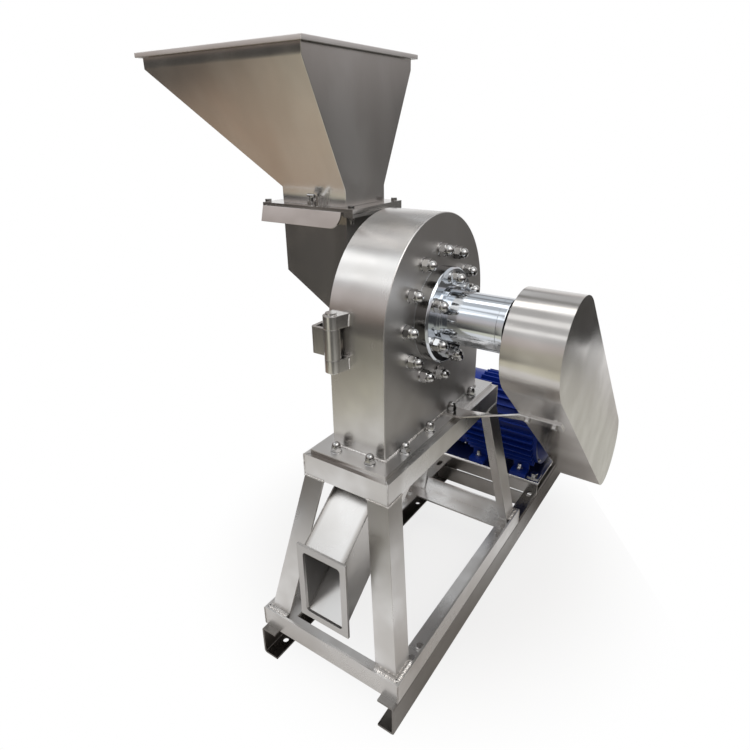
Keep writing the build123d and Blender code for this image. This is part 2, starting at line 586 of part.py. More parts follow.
# Main shaft, rotor and driven pulley
tip = ROTOR_HUB_FACE - NUT36_T - 5
pulley_end = PULLEY_X + PULLEY_W
shaft = rod_x(THREAD_R, tip, ROTOR_HUB_FACE)
shaft += rod_x(ROTOR_SEAT_R, ROTOR_HUB_FACE, ROTOR_SEAT_END)
shaft += rod_x(SHAFT_R, ROTOR_SEAT_END, BEARING_END)
shaft += rod_x(SHAFT_SHOULDER_R, BEARING_X + BEARING_W, BEARING_END - BEARING_W)
shaft += rod_x((SHAFT_R + PULLEY_SEAT_R) / 2, BEARING_END, PULLEY_X)
shaft += rod_x(PULLEY_SEAT_R, PULLEY_X, pulley_end)
shaft += rod_x(THREAD_R, pulley_end, pulley_end + NUT36_T + 6)
keys = []
for seat_r, x0, x1 in ((ROTOR_SEAT_R, ROTOR_HUB_FACE + 3, ROTOR_SEAT_END - 5),
                       (PULLEY_SEAT_R, PULLEY_X + 6, pulley_end - 8)):
    z0 = AXIS_Z + seat_r - KEY_H / 2
    keys.append(block(x0, x1, -KEY_W / 2, KEY_W / 2, z0, z0 + KEY_H))
    shaft -= block(x0 - FIT, x1 + FIT, -KEY_W / 2 - FIT, KEY_W / 2 + FIT, z0, z0 + KEY_H + FIT)
nodes["main_shaft"] = [shaft]
nodes["shaft_keys"] = keys
rotor = rod_x(ROTOR_R, ROTOR_FACE, ROTOR_BACK) + rod_x(ROTOR_HUB_R, ROTOR_HUB_FACE, ROTOR_SEAT_END)
rotor -= rod_x(ROTOR_SEAT_R + FIT, ROTOR_HUB_FACE - 1, ROTOR_SEAT_END + 1)
rotor -= keyway(ROTOR_SEAT_R, ROTOR_HUB_FACE, ROTOR_SEAT_END)
nodes["rotor_disc"] = [rotor]


def teeth(rows, x0, x1, phase):
    """Rings of square teeth round the shaft."""
    ring = []
    for radius, count in rows:
        for i in range(count):
            tooth = block(x0, x1, -TOOTH / 2, TOOTH / 2, radius - TOOTH / 2, radius + TOOTH / 2)
            ring.append(Pos(0, 0, AXIS_Z) * Rot(360.0 / count * i + phase, 0, 0) * tooth)
    return ring


nodes["rotor_teeth"] = teeth(ROTOR_ROWS, STATOR_FACE + TOOTH_END_GAP, ROTOR_FACE, 0.0)
lock_nut = hexagon(NUT36, 0, NUT36_T) - Pos(0, 0, NUT36_T / 2) * Cylinder(THREAD_R + FIT, NUT36_T + 2)
nodes["shaft_nuts"] = [toward(ROTOR_HUB_FACE - NUT36_T, 0, AXIS_Z, (1, 0, 0)) * lock_nut,
                       toward(pulley_end, 0, AXIS_Z, (1, 0, 0)) * lock_nut]


def pulley(radius, bore, y, z):
    """V-groove pulley between the two rims."""
    wheel = rod_x(radius, PULLEY_X, PULLEY_X + PULLEY_W, y, z)
    half_low = GROOVE_HALF - GROOVE_DEPTH * tan(radians(GROOVE_ANGLE))
    for n in range(GROOVES):
        x = PULLEY_X + GROOVE_EDGE + GROOVE_PITCH * n
        groove = v_section(x, half_low, radius - GROOVE_DEPTH, GROOVE_HALF, radius)
        ring = revolve(Plane.XZ * groove, Axis.X)
        wheel -= Pos(0, y, z) * ring
    return wheel - rod_x(bore, PULLEY_X - 1, PULLEY_X + PULLEY_W + 1, y, z)


driven = pulley(SHAFT_PULLEY_R, PULLEY_SEAT_R + FIT, 0.0, AXIS_Z)
driven -= keyway(PULLEY_SEAT_R, PULLEY_X, pulley_end)
nodes["shaft_pulley"] = [driven]

# Door with hinge, stator and clamps
door = rod_x(DOOR_R, DOOR_FACE, DOOR_IN)
knob_lobe_pitch = KNOB_R - KNOB_LOBE_R / 3
knob_outline = Circle(KNOB_R - 2)
for i in range(KNOB_LOBES):
    a = radians(360.0 / KNOB_LOBES * i)
    knob_outline += Pos(knob_lobe_pitch * cos(a), knob_lobe_pitch * sin(a)) * Circle(KNOB_LOBE_R)
knob = Pos(0, 0, KNOB_HUB) * extrude(knob_outline, KNOB_T)
knob += Pos(0, 0, KNOB_HUB / 2) * Cylinder(WASHER_R, KNOB_HUB)
stud_reach = DOOR_T + DOOR_SEAL + CLAMP_BOSS_L / 2
knob += Pos(0, 0, (KNOB_HUB - stud_reach) / 2) * Cylinder(STUD_R, KNOB_HUB + stud_reach)
for name, dz in (("door_knob_upper", CLAMP_DZ), ("door_knob_lower", -CLAMP_DZ)):
    z = AXIS_Z + dz
    door += block(DOOR_FACE, DOOR_IN, DOOR_R / 2, CLAMP_Y, z - CLAMP_EAR, z + CLAMP_EAR)
    door += rod_x(CLAMP_EAR, DOOR_FACE, DOOR_IN, CLAMP_Y, z)
    door -= rod_x(STUD_R + FIT, DOOR_FACE - 1, DOOR_IN + 1, CLAMP_Y, z)
    nodes[name] = [toward(DOOR_FACE, CLAMP_Y, z, (-1, 0, 0)) * knob]
door -= rod_x(STATOR_BORE_R, DOOR_FACE - 1, DOOR_IN + 1)
nodes["door_plate"] = [door]
nodes["door_seal"] = [tube_x(DOOR_SEAL_OUT_R, DOOR_SEAL_IN_R, DOOR_IN, -HOUSING_HALF)]
nodes["stator_disc"] = [tube_x(STATOR_R, STATOR_BORE_R, DOOR_IN, STATOR_FACE)]
nodes["stator_teeth"] = teeth(STATOR_ROWS, STATOR_FACE, ROTOR_FACE - TOOTH_END_GAP, STATOR_TURN)

hinge_low = HINGE_MID_Z - HINGE_LEAF_H / 2
hinge_high = HINGE_MID_Z + HINGE_LEAF_H / 2
barrel = Pos(HINGE_X, HINGE_Y) * Circle(HINGE_R)
web = polygon([(HINGE_X - HINGE_R, HINGE_Y), (HINGE_X + HINGE_R, HINGE_Y),
               (HINGE_X + HINGE_R + 9, -HOUSING_R + 14), (HINGE_X - HINGE_R - 2, -HOUSING_R + 14)])
outside = extrude_x(arch(HOUSING_R, FLANGE_TOP), -HOUSING_HALF - 20, HOUSING_HALF)
lugs = []
for z0 in (hinge_low - HINGE_LUG_H, hinge_high):
    lug = extrude_z(barrel + web, z0, z0 + HINGE_LUG_H) - outside
    lugs.append(lug - rod_z(HINGE_PIN_R + FIT, z0 - 1, z0 + HINGE_LUG_H + 1, HINGE_X, HINGE_Y))
nodes["hinge_lugs"] = lugs
pin = rod_z(HINGE_PIN_R, hinge_low - HINGE_LUG_H - 5, hinge_high + HINGE_LUG_H + 1, HINGE_X, HINGE_Y)
pin += rod_z(HINGE_PIN_R + 3, hinge_high + HINGE_LUG_H, hinge_high + HINGE_LUG_H + 5, HINGE_X, HINGE_Y)
nodes["hinge_pin"] = [pin]
leaf_x = DOOR_FACE - LEAF_T
leaf_y = HINGE_Y - LEAF_T / 2
leaf_z0 = hinge_low + HINGE_PLAY
leaf_z1 = hinge_high - HINGE_PLAY
leaf = block(leaf_x, HINGE_X, leaf_y, leaf_y + LEAF_T, leaf_z0 + 3, leaf_z1 - 3)
leaf += block(leaf_x, DOOR_FACE, leaf_y, LEAF_END_Y, leaf_z0 + 3, leaf_z1 - 3)
leaf = fillet(leaf.edges().filter_by(Axis.Z).group_by(Axis.Y)[0].group_by(Axis.X)[0], LEAF_T - 1)
leaf += rod_z(HINGE_R, leaf_z0, leaf_z1, HINGE_X, HINGE_Y)
leaf -= rod_z(HINGE_PIN_R + FIT, leaf_z0 - 1, leaf_z1 + 1, HINGE_X, HINGE_Y)
nodes["door_hinge_leaf"] = [leaf]

# Feed chute, gate and hopper
chute_points = [(CHUTE_LEFT, CHUTE_FLANGE_Z), (CHUTE_LEFT, CHUTE_LEFT_Z), (DOOR_FACE, CHUTE_MOUTH_LOW),
                (DOOR_FACE, CHUTE_MOUTH_HIGH), (CHUTE_RIGHT, CHUTE_BEND_Z), (CHUTE_RIGHT, CHUTE_FLANGE_Z)]
chute = extrude_y(polygon(chute_points), -CHUTE_HALF_Y, CHUTE_HALF_Y)
chute_in = inset(chute_points, [SHEET, SHEET, -1.0, SHEET, SHEET, -20.0])
flange_half_y = FEED_FLANGE_HALF_Y
chute += block(FEED_FLANGE_LEFT, FEED_FLANGE_RIGHT, -flange_half_y, flange_half_y, CHUTE_FLANGE_Z, GUIDE_Z)
chute -= extrude_y(polygon(chute_in), SHEET - CHUTE_HALF_Y, CHUTE_HALF_Y - SHEET)
hopper_flange = block(FEED_FLANGE_LEFT, FEED_FLANGE_RIGHT, -flange_half_y, flange_half_y,
                      HOPPER_FLANGE_Z, HOPPER_FLANGE_TOP)
neck_in_y = NECK_HALF_Y - SHEET
hopper_flange -= block(NECK_LEFT + SHEET, NECK_RIGHT - SHEET, -neck_in_y, neck_in_y,
                       GUIDE_Z, HOPPER_NECK_TOP)
hopper_flange += Pos(GATE_SCREW_X, GATE_SCREW_Y, HOPPER_FLANGE_TOP) * hexagon(16.0, -1, 8)
lug_x = GATE_SCREW_X + 18
hopper_flange += block(lug_x, lug_x + 6, -flange_half_y + 3, -NECK_HALF_Y,
                       HOPPER_FLANGE_TOP - 1, HOPPER_FLANGE_TOP + 20)
hopper_flange -= rod_z(GATE_BOLT_R + FIT, HOPPER_FLANGE_Z - 1, HOPPER_FLANGE_TOP + 9,
                       GATE_SCREW_X, GATE_SCREW_Y)
guide_left = FEED_FLANGE_LEFT + GATE_LEFT_GUIDE
guide_right = FEED_FLANGE_RIGHT - GATE_RIGHT_GUIDE
guide_rear = flange_half_y - GATE_REAR_GUIDE
guides = [block(FEED_FLANGE_LEFT, guide_left, -flange_half_y, flange_half_y, GUIDE_Z, HOPPER_FLANGE_Z),
          block(guide_left, guide_right, guide_rear, flange_half_y, GUIDE_Z, HOPPER_FLANGE_Z),
          block(guide_right, FEED_FLANGE_RIGHT, -flange_half_y, flange_half_y, GUIDE_Z, HOPPER_FLANGE_Z)]
frame_bolts = []
stack_bolt = bolt(GATE_BOLT_R, HOPPER_FLANGE_TOP - CHUTE_FLANGE_Z, SMALL_FLATS, SMALL_HEAD, 8.0)
for x, guide in ((FEED_FLANGE_LEFT + GATE_LEFT_GUIDE / 2, 0), (FEED_FLANGE_RIGHT - GATE_LEFT_GUIDE, 2)):
    for y in (-flange_half_y + GATE_LEFT_GUIDE, flange_half_y - GATE_LEFT_GUIDE):
        hole = rod_z(GATE_BOLT_R + STUD_GAP, CHUTE_FLANGE_Z - 1, HOPPER_FLANGE_TOP + 1, x, y)
        chute -= hole
        hopper_flange -= hole
        guides[guide] -= hole
        frame_bolts.append(Pos(x, y, HOPPER_FLANGE_TOP) * stack_bolt)
nodes["feed_chute"] = [chute]
nodes["hopper_flange"] = [hopper_flange]
nodes["gate_guides"] = guides
nodes["gate_frame_bolts"] = frame_bolts

gate_z0 = GUIDE_Z + GATE_PLAY
gate_z1 = gate_z0 + GATE_T
gate_left = guide_left + GATE_PLAY
gate_right = guide_right - GATE_PLAY
gate_front = -flange_half_y - 2 * GATE_PLAY - GATE_T
gate = block(gate_left, gate_right, gate_front, guide_rear - GATE_PLAY, gate_z0, gate_z1)
lip_z = gate_z1 - GATE_LIP_H
lip = rectangle(FEED_FLANGE_LEFT + 4, gate_right, lip_z, gate_z1)
lip = fillet(lip.vertices().group_by(Axis.Y)[0].group_by(Axis.X)[-1], GATE_LIP_H * 0.8)
lip = extrude_y(lip, gate_front, gate_front + GATE_T)
gate += lip.rotate(Axis((0, gate_front, gate_z1), (1, 0, 0)), -GATE_LIP_LEAN)
nodes["feed_gate"] = [gate]
screw = rod_z(GATE_BOLT_R, gate_z1 + 2 * GATE_PLAY, GATE_SCREW_TOP, GATE_SCREW_X, GATE_SCREW_Y)
screw += rod_x(GATE_BOLT_R, GATE_SCREW_X - GATE_SCREW_BAR, GATE_SCREW_X + GATE_SCREW_BAR,
               GATE_SCREW_Y, GATE_SCREW_TOP)
nodes["gate_clamp_screw"] = [screw]


def hopper_form(gap):
    """Neck, tapered body and upright band of the hopper, each side moved in by the gap."""
    left = [(NECK_LEFT + gap, HOPPER_NECK_TOP), (NECK_LEFT + gap, HOPPER_FLANGE_TOP)]
    right = [(NECK_RIGHT - gap, HOPPER_FLANGE_TOP), (NECK_RIGHT - gap, HOPPER_TOP)]
    band = [(HOPPER_LEFT + gap, HOPPER_TOP), (HOPPER_LEFT + gap, HOPPER_FOLD_Z)]
    neck_y = NECK_HALF_Y - gap
    band_y = HOPPER_HALF_Y - gap
    half = [(neck_y, HOPPER_FLANGE_TOP), (neck_y, HOPPER_NECK_TOP),
            (band_y, HOPPER_FOLD_Z), (band_y, HOPPER_TOP)]
    across = polygon(half + [(-y, z) for y, z in reversed(half)])
    along = polygon(left + right + band)
    return extrude_y(along, -band_y, band_y) & extrude_x(across, HOPPER_LEFT, NECK_RIGHT)


rim_left = HOPPER_LEFT - RIM_OUT
rim_right = NECK_RIGHT + RIM_OUT
rim_y = HOPPER_HALF_Y + RIM_OUT
rim = block(rim_left, rim_right, -rim_y, rim_y, HOPPER_TOP - RIM_DOWN, HOPPER_TOP)
rim -= block(rim_left + SHEET, rim_right - SHEET, SHEET - rim_y, rim_y - SHEET,
             HOPPER_TOP - RIM_DOWN - 1, HOPPER_TOP - SHEET)
nodes["hopper"] = [hopper_form(0.0) + rim - hopper_form(SHEET)]

# Discharge duct and outlet flange
duct = extrude_x(polygon(duct_points), -DUCT_HALF_X, DUCT_HALF_X)
duct_in = inset(duct_points, [-1.0, SHEET, -1.0, SHEET])
nodes["discharge_duct"] = [duct - extrude_x(polygon(duct_in), -duct_in_x, duct_in_x)]
outlet_wall = SHEET / cos(radians(DUCT_SLOPE))
outlet_x = DUCT_HALF_X + OUTLET_BORDER
outlet = rectangle(-outlet_x, outlet_x, DUCT_LOW - OUTLET_BORDER, DUCT_HIGH + OUTLET_BORDER)
mouth = rectangle(-duct_in_x, duct_in_x, DUCT_LOW + outlet_wall, DUCT_HIGH - outlet_wall)
outlet -= fillet(mouth.vertices(), OUTLET_CORNER)
nodes["outlet_flange"] = [extrude_y(outlet, DUCT_FRONT - OUTLET_T, DUCT_FRONT)]


# V-belts
def belt(x):
    """Closed belt of V section round both pulleys."""
    r0 = SHAFT_PULLEY_R + BELT_PROUD
    r1 = MOTOR_PULLEY_R + BELT_PROUD
    span = Vector(0, MOTOR_Y, MOTOR_Z - AXIS_Z)
    heading = degrees(atan2(span.Z, span.Y))
    lean = degrees(acos((r0 - r1) / span.length))
    slope = tan(radians(GROOVE_ANGLE))
    half_out = GROOVE_HALF + BELT_PROUD * slope - BELT_GAP
    half_in = half_out - BELT_H * slope
    run_length = (span.length ** 2 - (r0 - r1) ** 2) ** 0.5
    loop = None
    for start, wrap, radius, y, z in ((heading + lean, 360 - 2 * lean, r0, 0.0, AXIS_Z),
                                      (heading - lean, 2 * lean, r1, MOTOR_Y, MOTOR_Z)):
        section = v_section(x, half_in, radius - BELT_H, half_out, radius)
        turn = Pos(0, y, z) * Rot(start - 90, 0, 0)
        bend = turn * revolve(Plane.XZ * section, Axis.X, wrap)
        run = turn * extrude(Plane.XZ * section, -run_length)
        if loop is None:
            loop = bend + run
        else:
            loop = loop + bend + run
    return loop


belt_rows = [PULLEY_X + GROOVE_EDGE + GROOVE_PITCH * n for n in range(GROOVES)]
nodes["v_belts"] = [belt(x) for x in belt_rows]


# Belt guard and its strap
def top_arc(turn, inset=0.0):
    """Point on the guard's top arc, or on the arc that lies inside it by the inset."""
    radius = GUARD_TOP_R - inset
    return (GUARD_TOP_Y + radius * cos(turn), GUARD_TOP_Z + radius * sin(turn))


def low_arc(turn, inset=0.0):
    """Point on the guard's lower arc, or on the arc that lies inside it by the inset."""
    radius = GUARD_LOW_R - inset
    return (GUARD_LOW_Y + radius * cos(turn), GUARD_LOW_Z + radius * sin(turn))


# The rear side touches both arcs, and the front side touches the top arc only.
reach_y = GUARD_LOW_Y - GUARD_TOP_Y
reach_z = GUARD_LOW_Z - GUARD_TOP_Z
rear_turn = atan2(reach_z, reach_y) + acos((GUARD_TOP_R - GUARD_LOW_R) / hypot(reach_y, reach_z))
corner_turn = radians(GUARD_FRONT_ANGLE)
front_corner = low_arc(corner_turn)
corner_y = front_corner[0] - GUARD_TOP_Y
corner_z = front_corner[1] - GUARD_TOP_Z
front_turn = atan2(corner_z, corner_y) - acos(GUARD_TOP_R / hypot(corner_y, corner_z))
front_touch = top_arc(front_turn)
run_y = front_corner[0] - front_touch[0]
run_z = front_corner[1] - front_touch[1]
run_length = hypot(run_y, run_z)


def guard_corner(inset):
    """Where the front side, moved in by the inset, meets the lower arc."""
    touch_y, touch_z = top_arc(front_turn, inset)
    to_y = GUARD_LOW_Y - touch_y
    to_z = GUARD_LOW_Z - touch_z
    beside = (to_y * run_z - to_z * run_y) / run_length
    leaning = run_y * cos(corner_turn) + run_z * sin(corner_turn)
    reach = (to_y * run_y + to_z * run_z) / run_length
    reach += copysign(sqrt((GUARD_LOW_R - inset) ** 2 - beside ** 2), leaning)
    return (touch_y + run_y / run_length * reach, touch_z + run_z / run_length * reach)


def guard_face(inset):
    """The guard's outline, moved in by the inset all round."""
    corner = guard_corner(inset)
    front = top_arc(front_turn, inset)
    rear = top_arc(rear_turn, inset)
    heel = low_arc(rear_turn, inset)
    return make_face([Line(rear, heel),
                      ThreePointArc(heel, low_arc((rear_turn + corner_turn) / 2, inset), corner),
                      Line(corner, front),
                      ThreePointArc(front, top_arc((rear_turn + front_turn) / 2 + pi, inset), rear)])


guard = extrude_x(guard_face(0.0), GUARD_IN, GUARD_OUT)
guard -= extrude_x(guard_face(GUARD_WALL), GUARD_IN - 1, GUARD_OUT - GUARD_WALL)
along = (STRAP_GUARD_Z - front_touch[1]) / run_z
strap_y = front_touch[0] + run_y * along
outward = Vector(0, run_z / run_length, -run_y / run_length)
strap_plane = Plane(origin=(GUARD_IN, strap_y, STRAP_GUARD_Z), x_dir=(1, 0, 0), z_dir=outward)
strap_x, strap_home = strap_place
strap = block(strap_x - STRAP_TAIL, STRAP_FLAT_END, strap_home - STRAP_W / 2, strap_home + STRAP_W / 2,
              FLANGE_TOP, FLANGE_TOP + STRAP_T)
strap -= rod_z(STUD_R + STUD_GAP, FLANGE_TOP - 1, FLANGE_TOP + STRAP_T + 1, strap_x, strap_home)
flat_end = Plane(origin=(STRAP_FLAT_END, strap_home, FLANGE_TOP + STRAP_T / 2),
                 x_dir=(0, 1, 0), z_dir=(1, 0, 0))
guard_end = Plane(origin=(GUARD_IN, strap_y, STRAP_GUARD_Z) + outward * (STRAP_T / 2),
                  x_dir=(0, run_y / run_length, run_z / run_length), z_dir=(1, 0, 0))
strap += loft([flat_end * Rectangle(STRAP_W, STRAP_T), guard_end * Rectangle(STRAP_W, STRAP_T)], ruled=True)
strap += extrude(strap_plane * rectangle(0, STRAP_END - GUARD_IN, -STRAP_W / 2, STRAP_W / 2), STRAP_T)
guard_bolt = bolt(STRAP_BOLT_R, STRAP_T + GUARD_WALL, SMALL_FLATS, SMALL_HEAD, 3.0)
guard_bolts = []
for x in STRAP_BOLT_X:
    place = Plane(origin=(x, strap_y, STRAP_GUARD_Z) + outward * STRAP_T, x_dir=(1, 0, 0), z_dir=outward)
    hole = place * Cylinder(STRAP_BOLT_R + STUD_GAP, 30)
    strap -= hole
    guard -= hole
    guard_bolts.append(place * guard_bolt)
nodes["belt_guard"] = [guard]
nodes["guard_strap"] = [strap]
nodes["guard_bolts"] = guard_bolts

# Motor plate
plate_section = rectangle(MOTOR_PLATE_FRONT, MOTOR_PLATE_REAR, SKID_HEIGHT, MOTOR_PLATE_TOP)
plate_section = fillet(plate_section.vertices().group_by(Axis.Y)[-1], SKID_BEND + 1)
plate_hollow = rectangle(MOTOR_PLATE_FRONT + MOTOR_PLATE_T, MOTOR_PLATE_REAR - MOTOR_PLATE_T,
                         SKID_HEIGHT - 1, MOTOR_PLATE_TOP - MOTOR_PLATE_T)
plate = extrude_x(plate_section - plate_hollow, -SKID_HALF_WIDTH, SKID_HALF_WIDTH)

# Motor frame with fins, feet and terminal pad
frame = rod_x(MOTOR_BODY_R, MOTOR_FRAME_START, MOTOR_FRAME_END, MOTOR_Y, MOTOR_Z)
for i in range(MOTOR_FINS):
    a = 360.0 / MOTOR_FINS * i
    if abs((a + 90 + 180) % 360 - 180) < 36:
        continue
    fin = block(MOTOR_FRAME_START, MOTOR_FRAME_END, MOTOR_BODY_R - 3, MOTOR_FIN_R,
                -MOTOR_FIN_T / 2, MOTOR_FIN_T / 2)
    frame += Pos(0, MOTOR_Y, MOTOR_Z) * Rot(a, 0, 0) * fin
terminal_z = MOTOR_Z + TERMINAL_BASE
terminal_y0 = MOTOR_Y - TERMINAL_HALF_Y
terminal_y1 = MOTOR_Y + TERMINAL_HALF_Y
frame -= block(TERMINAL_X[0] - 2, TERMINAL_X[1] + 2, terminal_y0 - 2, terminal_y1 + 2,
               terminal_z, MOTOR_Z + MOTOR_FIN_R + 1)
frame += block(TERMINAL_X[0], TERMINAL_X[1], terminal_y0, terminal_y1, MOTOR_Z + MOTOR_BORE_R - 4, terminal_z)
motor_bolts = []
foot_bolt = bolt(STUD_R, MOTOR_PLATE_T + MOTOR_FOOT_T, NUT_FLATS, NUT_HEIGHT, 12.0)
foot_top = MOTOR_PLATE_TOP + MOTOR_FOOT_T
clamp_bolt = bolt(STUD_R, MOTOR_PLATE_TOP - SKID_HEIGHT + SKID_WALL + 4.2, NUT_FLATS, 8.0, 6.0)
clamp_bolt += Pos(0, 0, -2.0) * Box(36, 36, 4)
for x in MOTOR_FOOT_X:
    for side in (-1, 1):
        y = MOTOR_Y + side * MOTOR_FOOT_HALF_Y
        near = y - side * MOTOR_FOOT_IN
        edge = y + side * MOTOR_FOOT_OUT
        wall = near + side * MOTOR_FOOT_WEB
        x0 = x - MOTOR_FOOT_HALF_X
        x1 = x + MOTOR_FOOT_HALF_X
        frame += block(x0, x1, min(near, edge), max(near, edge), MOTOR_PLATE_TOP, foot_top)
        frame += block(x0, x1, min(near, wall), max(near, wall), MOTOR_PLATE_TOP, MOTOR_Z - 60)
        frame -= rod_z(STUD_R + STUD_GAP, MOTOR_PLATE_TOP - 1, foot_top + 1, x, y)
        plate -= rod_z(STUD_R + STUD_GAP, MOTOR_PLATE_TOP - 20, MOTOR_PLATE_TOP + 1, x, y)
        upside = Plane(origin=(x, y, MOTOR_PLATE_TOP - MOTOR_PLATE_T), z_dir=(0, 0, -1))
        motor_bolts.append(upside * foot_bolt)
for y in MOTOR_CLAMP_Y:
    for side in (-1, 1):
        plate -= rod_z(STUD_R + STUD_GAP, MOTOR_PLATE_TOP - 20, MOTOR_PLATE_TOP + 1, side * ANCHOR_X, y)
        motor_bolts.append(Pos(side * ANCHOR_X, y, MOTOR_PLATE_TOP + 4) * clamp_bolt)
frame -= rod_x(MOTOR_BORE_R, MOTOR_FRAME_START - 1, MOTOR_FRAME_END + 1, MOTOR_Y, MOTOR_Z)
nodes["motor_plate"] = [plate]
nodes["motor_frame"] = [frame]
nodes["motor_bolts"] = motor_bolts

# Motor shields, stator, rotor, fan and covers
at = (MOTOR_Y, MOTOR_Z)
shield = rod_x(MOTOR_BODY_R + 4, MOTOR_FRAME_END, MOTOR_FRAME_END + 12, *at)
shield += cone_x(MOTOR_BODY_R - 8, 58.0, MOTOR_FRAME_END + 12, MOTOR_SHOULDER - 5, *at)
shield -= rod_x(MOTOR_SHAFT_R + SEAL_GAP, MOTOR_FRAME_END - 1, MOTOR_SHOULDER, *at)
tail_shield = tube_x(MOTOR_BODY_R, MOTOR_TAIL_R + SEAL_GAP, MOTOR_FRAME_START - 14, MOTOR_FRAME_START, *at)
nodes["motor_end_shields"] = [shield, tail_shield]
core_start = MOTOR_FRAME_START + 30
core_end = MOTOR_FRAME_END - 45
stator = tube_x(MOTOR_BORE_R - FIT, MOTOR_ROTOR_R + MOTOR_AIR_GAP, core_start, core_end, *at)
stator += tube_x(MOTOR_BORE_R - 8, MOTOR_ROTOR_R + 6, core_start - 22, core_end + 22, *at)
nodes["motor_stator"] = [stator]
fan_x = MOTOR_TAIL + 60
motor_rotor = rod_x(MOTOR_ROTOR_R, core_start, core_end, *at)
motor_rotor += rod_x(MOTOR_SHAFT_R, core_end, MOTOR_SHAFT_END, *at)
motor_rotor += rod_x(MOTOR_TAIL_R, fan_x - FAN_HALF, core_start, *at)
nodes["motor_rotor"] = [motor_rotor]
fan = rod_x(FAN_HUB_R, fan_x - FAN_HALF, fan_x + FAN_HALF, *at)
fan += rod_x(FAN_R, fan_x + 4, fan_x + 8, *at)
for i in range(FAN_BLADES):
    blade = block(fan_x - FAN_HALF, fan_x + 5, FAN_HUB_R - 2, FAN_R - 2, -FAN_BLADE_T / 2, FAN_BLADE_T / 2)
    fan += Pos(0, MOTOR_Y, MOTOR_Z) * Rot(360.0 / FAN_BLADES * i, 0, 0) * blade
fan -= rod_x(MOTOR_TAIL_R + FIT, fan_x - FAN_HALF - 1, fan_x + FAN_HALF + 1, *at)
nodes["motor_fan"] = [fan]
cowl = rod_x(COVER_R, MOTOR_TAIL, MOTOR_FRAME_START, *at)
cowl = fillet(cowl.edges().sort_by(Axis.X)[:1], COVER_ROUND)
cowl_in = rod_x(COVER_R - COVER_WALL, MOTOR_TAIL + COVER_WALL, MOTOR_FRAME_START + 1, *at)
cowl_in = fillet(cowl_in.edges().sort_by(Axis.X)[:1], COVER_ROUND - COVER_WALL)
cowl -= cowl_in
for i in range(COVER_SLOTS):
    slot = block(MOTOR_TAIL - 1, MOTOR_TAIL + 8, 44.0, 104.0, -COVER_SLOT_W / 2, COVER_SLOT_W / 2)
    cowl -= Pos(0, MOTOR_Y, MOTOR_Z) * Rot(360.0 / COVER_SLOTS * i, 0, 0) * slot
nodes["motor_fan_cover"] = [cowl]
box = block(TERMINAL_X[0], TERMINAL_X[1], terminal_y0, terminal_y1, terminal_z, terminal_z + TERMINAL_H)
lid_z = terminal_z + TERMINAL_H
box_wall = TERMINAL_WALL
box -= block(TERMINAL_X[0] + box_wall, TERMINAL_X[1] - box_wall,
             terminal_y0 + box_wall, terminal_y1 - box_wall, terminal_z + box_wall, lid_z + 1)
gland_z = terminal_z + TERMINAL_H / 2
gland_x = (TERMINAL_X[0] + TERMINAL_X[1]) / 2
gland_axis = toward(gland_x, terminal_y1, gland_z, (0, 1, 0))
box -= gland_axis * Cylinder(GLAND_R + FIT, 2 * GLAND_R)
lid = block(TERMINAL_X[0] - 2, TERMINAL_X[1] + 2, terminal_y0 - 2, terminal_y1 + 2,
            lid_z, lid_z + TERMINAL_LID)
lid = chamfer(lid.faces().sort_by(Axis.Z)[-1].edges(), 2.5)
nodes["terminal_box"] = [box, lid]
gland = Pos(0, 0, 8) * Cylinder(GLAND_R, 24) + hexagon(26.0, 0, 8) + hexagon(24.0, 10, 22)
gland -= Pos(0, 0, 10) * Cylinder(GLAND_BORE_R, 40)
nodes["cable_gland"] = [gland_axis * gland]

# Motor pulley
drive = pulley(MOTOR_PULLEY_R, MOTOR_SHAFT_R + FIT, *at)
drive += tube_x(36.0, MOTOR_SHAFT_R + FIT, PULLEY_X - 24, PULLEY_X + 1, *at)
drive -= tube_x(MOTOR_PULLEY_R - GROOVE_DEPTH - 8, PULLEY_HUB_R, pulley_end - 22, pulley_end + 1, *at)
nodes["motor_pulley"] = [drive]

os.makedirs("parts", exist_ok=True)
for name, solids in nodes.items():
    whole = []
    for piece in solids:
        whole += list(piece.solids())
    body = whole[0] if len(whole) == 1 else Compound(children=whole)
    body.label = name
    export_step(body, "parts/" + name + ".step")
    print(name, len(whole))
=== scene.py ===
# %% [markdown]
# # Universal grinding mill
# A hopper feeds a round grinding chamber on a welded stand, and a motor behind it turns the chamber's
# shaft by belts. The solids of the machine come in as a fixed frame, where every piece has its place
# and size. It could all be modelled again here, but the looks would then drift from the solids. So this
# scene only dresses them: rounded edges, finishes, domed nuts, weld beads, sieve holes and small
# screws.

# %% Load the frame
import json
import math

import bmesh
import bpy
from mathutils import Matrix, Vector


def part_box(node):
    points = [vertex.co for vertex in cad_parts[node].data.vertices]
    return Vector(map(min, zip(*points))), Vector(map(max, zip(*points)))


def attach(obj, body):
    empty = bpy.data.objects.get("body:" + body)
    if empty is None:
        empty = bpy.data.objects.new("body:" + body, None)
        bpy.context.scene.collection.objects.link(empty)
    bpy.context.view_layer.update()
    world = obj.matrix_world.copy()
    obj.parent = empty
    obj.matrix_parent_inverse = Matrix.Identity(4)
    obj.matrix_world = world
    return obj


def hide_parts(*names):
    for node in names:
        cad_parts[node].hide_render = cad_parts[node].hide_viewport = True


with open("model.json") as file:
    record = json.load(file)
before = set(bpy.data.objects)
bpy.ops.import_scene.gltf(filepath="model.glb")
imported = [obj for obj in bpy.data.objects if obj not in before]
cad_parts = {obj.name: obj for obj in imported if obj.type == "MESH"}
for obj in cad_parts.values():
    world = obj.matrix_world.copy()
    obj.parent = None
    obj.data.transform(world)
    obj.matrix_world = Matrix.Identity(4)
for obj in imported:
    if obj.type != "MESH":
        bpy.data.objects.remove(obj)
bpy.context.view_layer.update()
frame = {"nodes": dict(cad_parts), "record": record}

nodes = frame["nodes"]
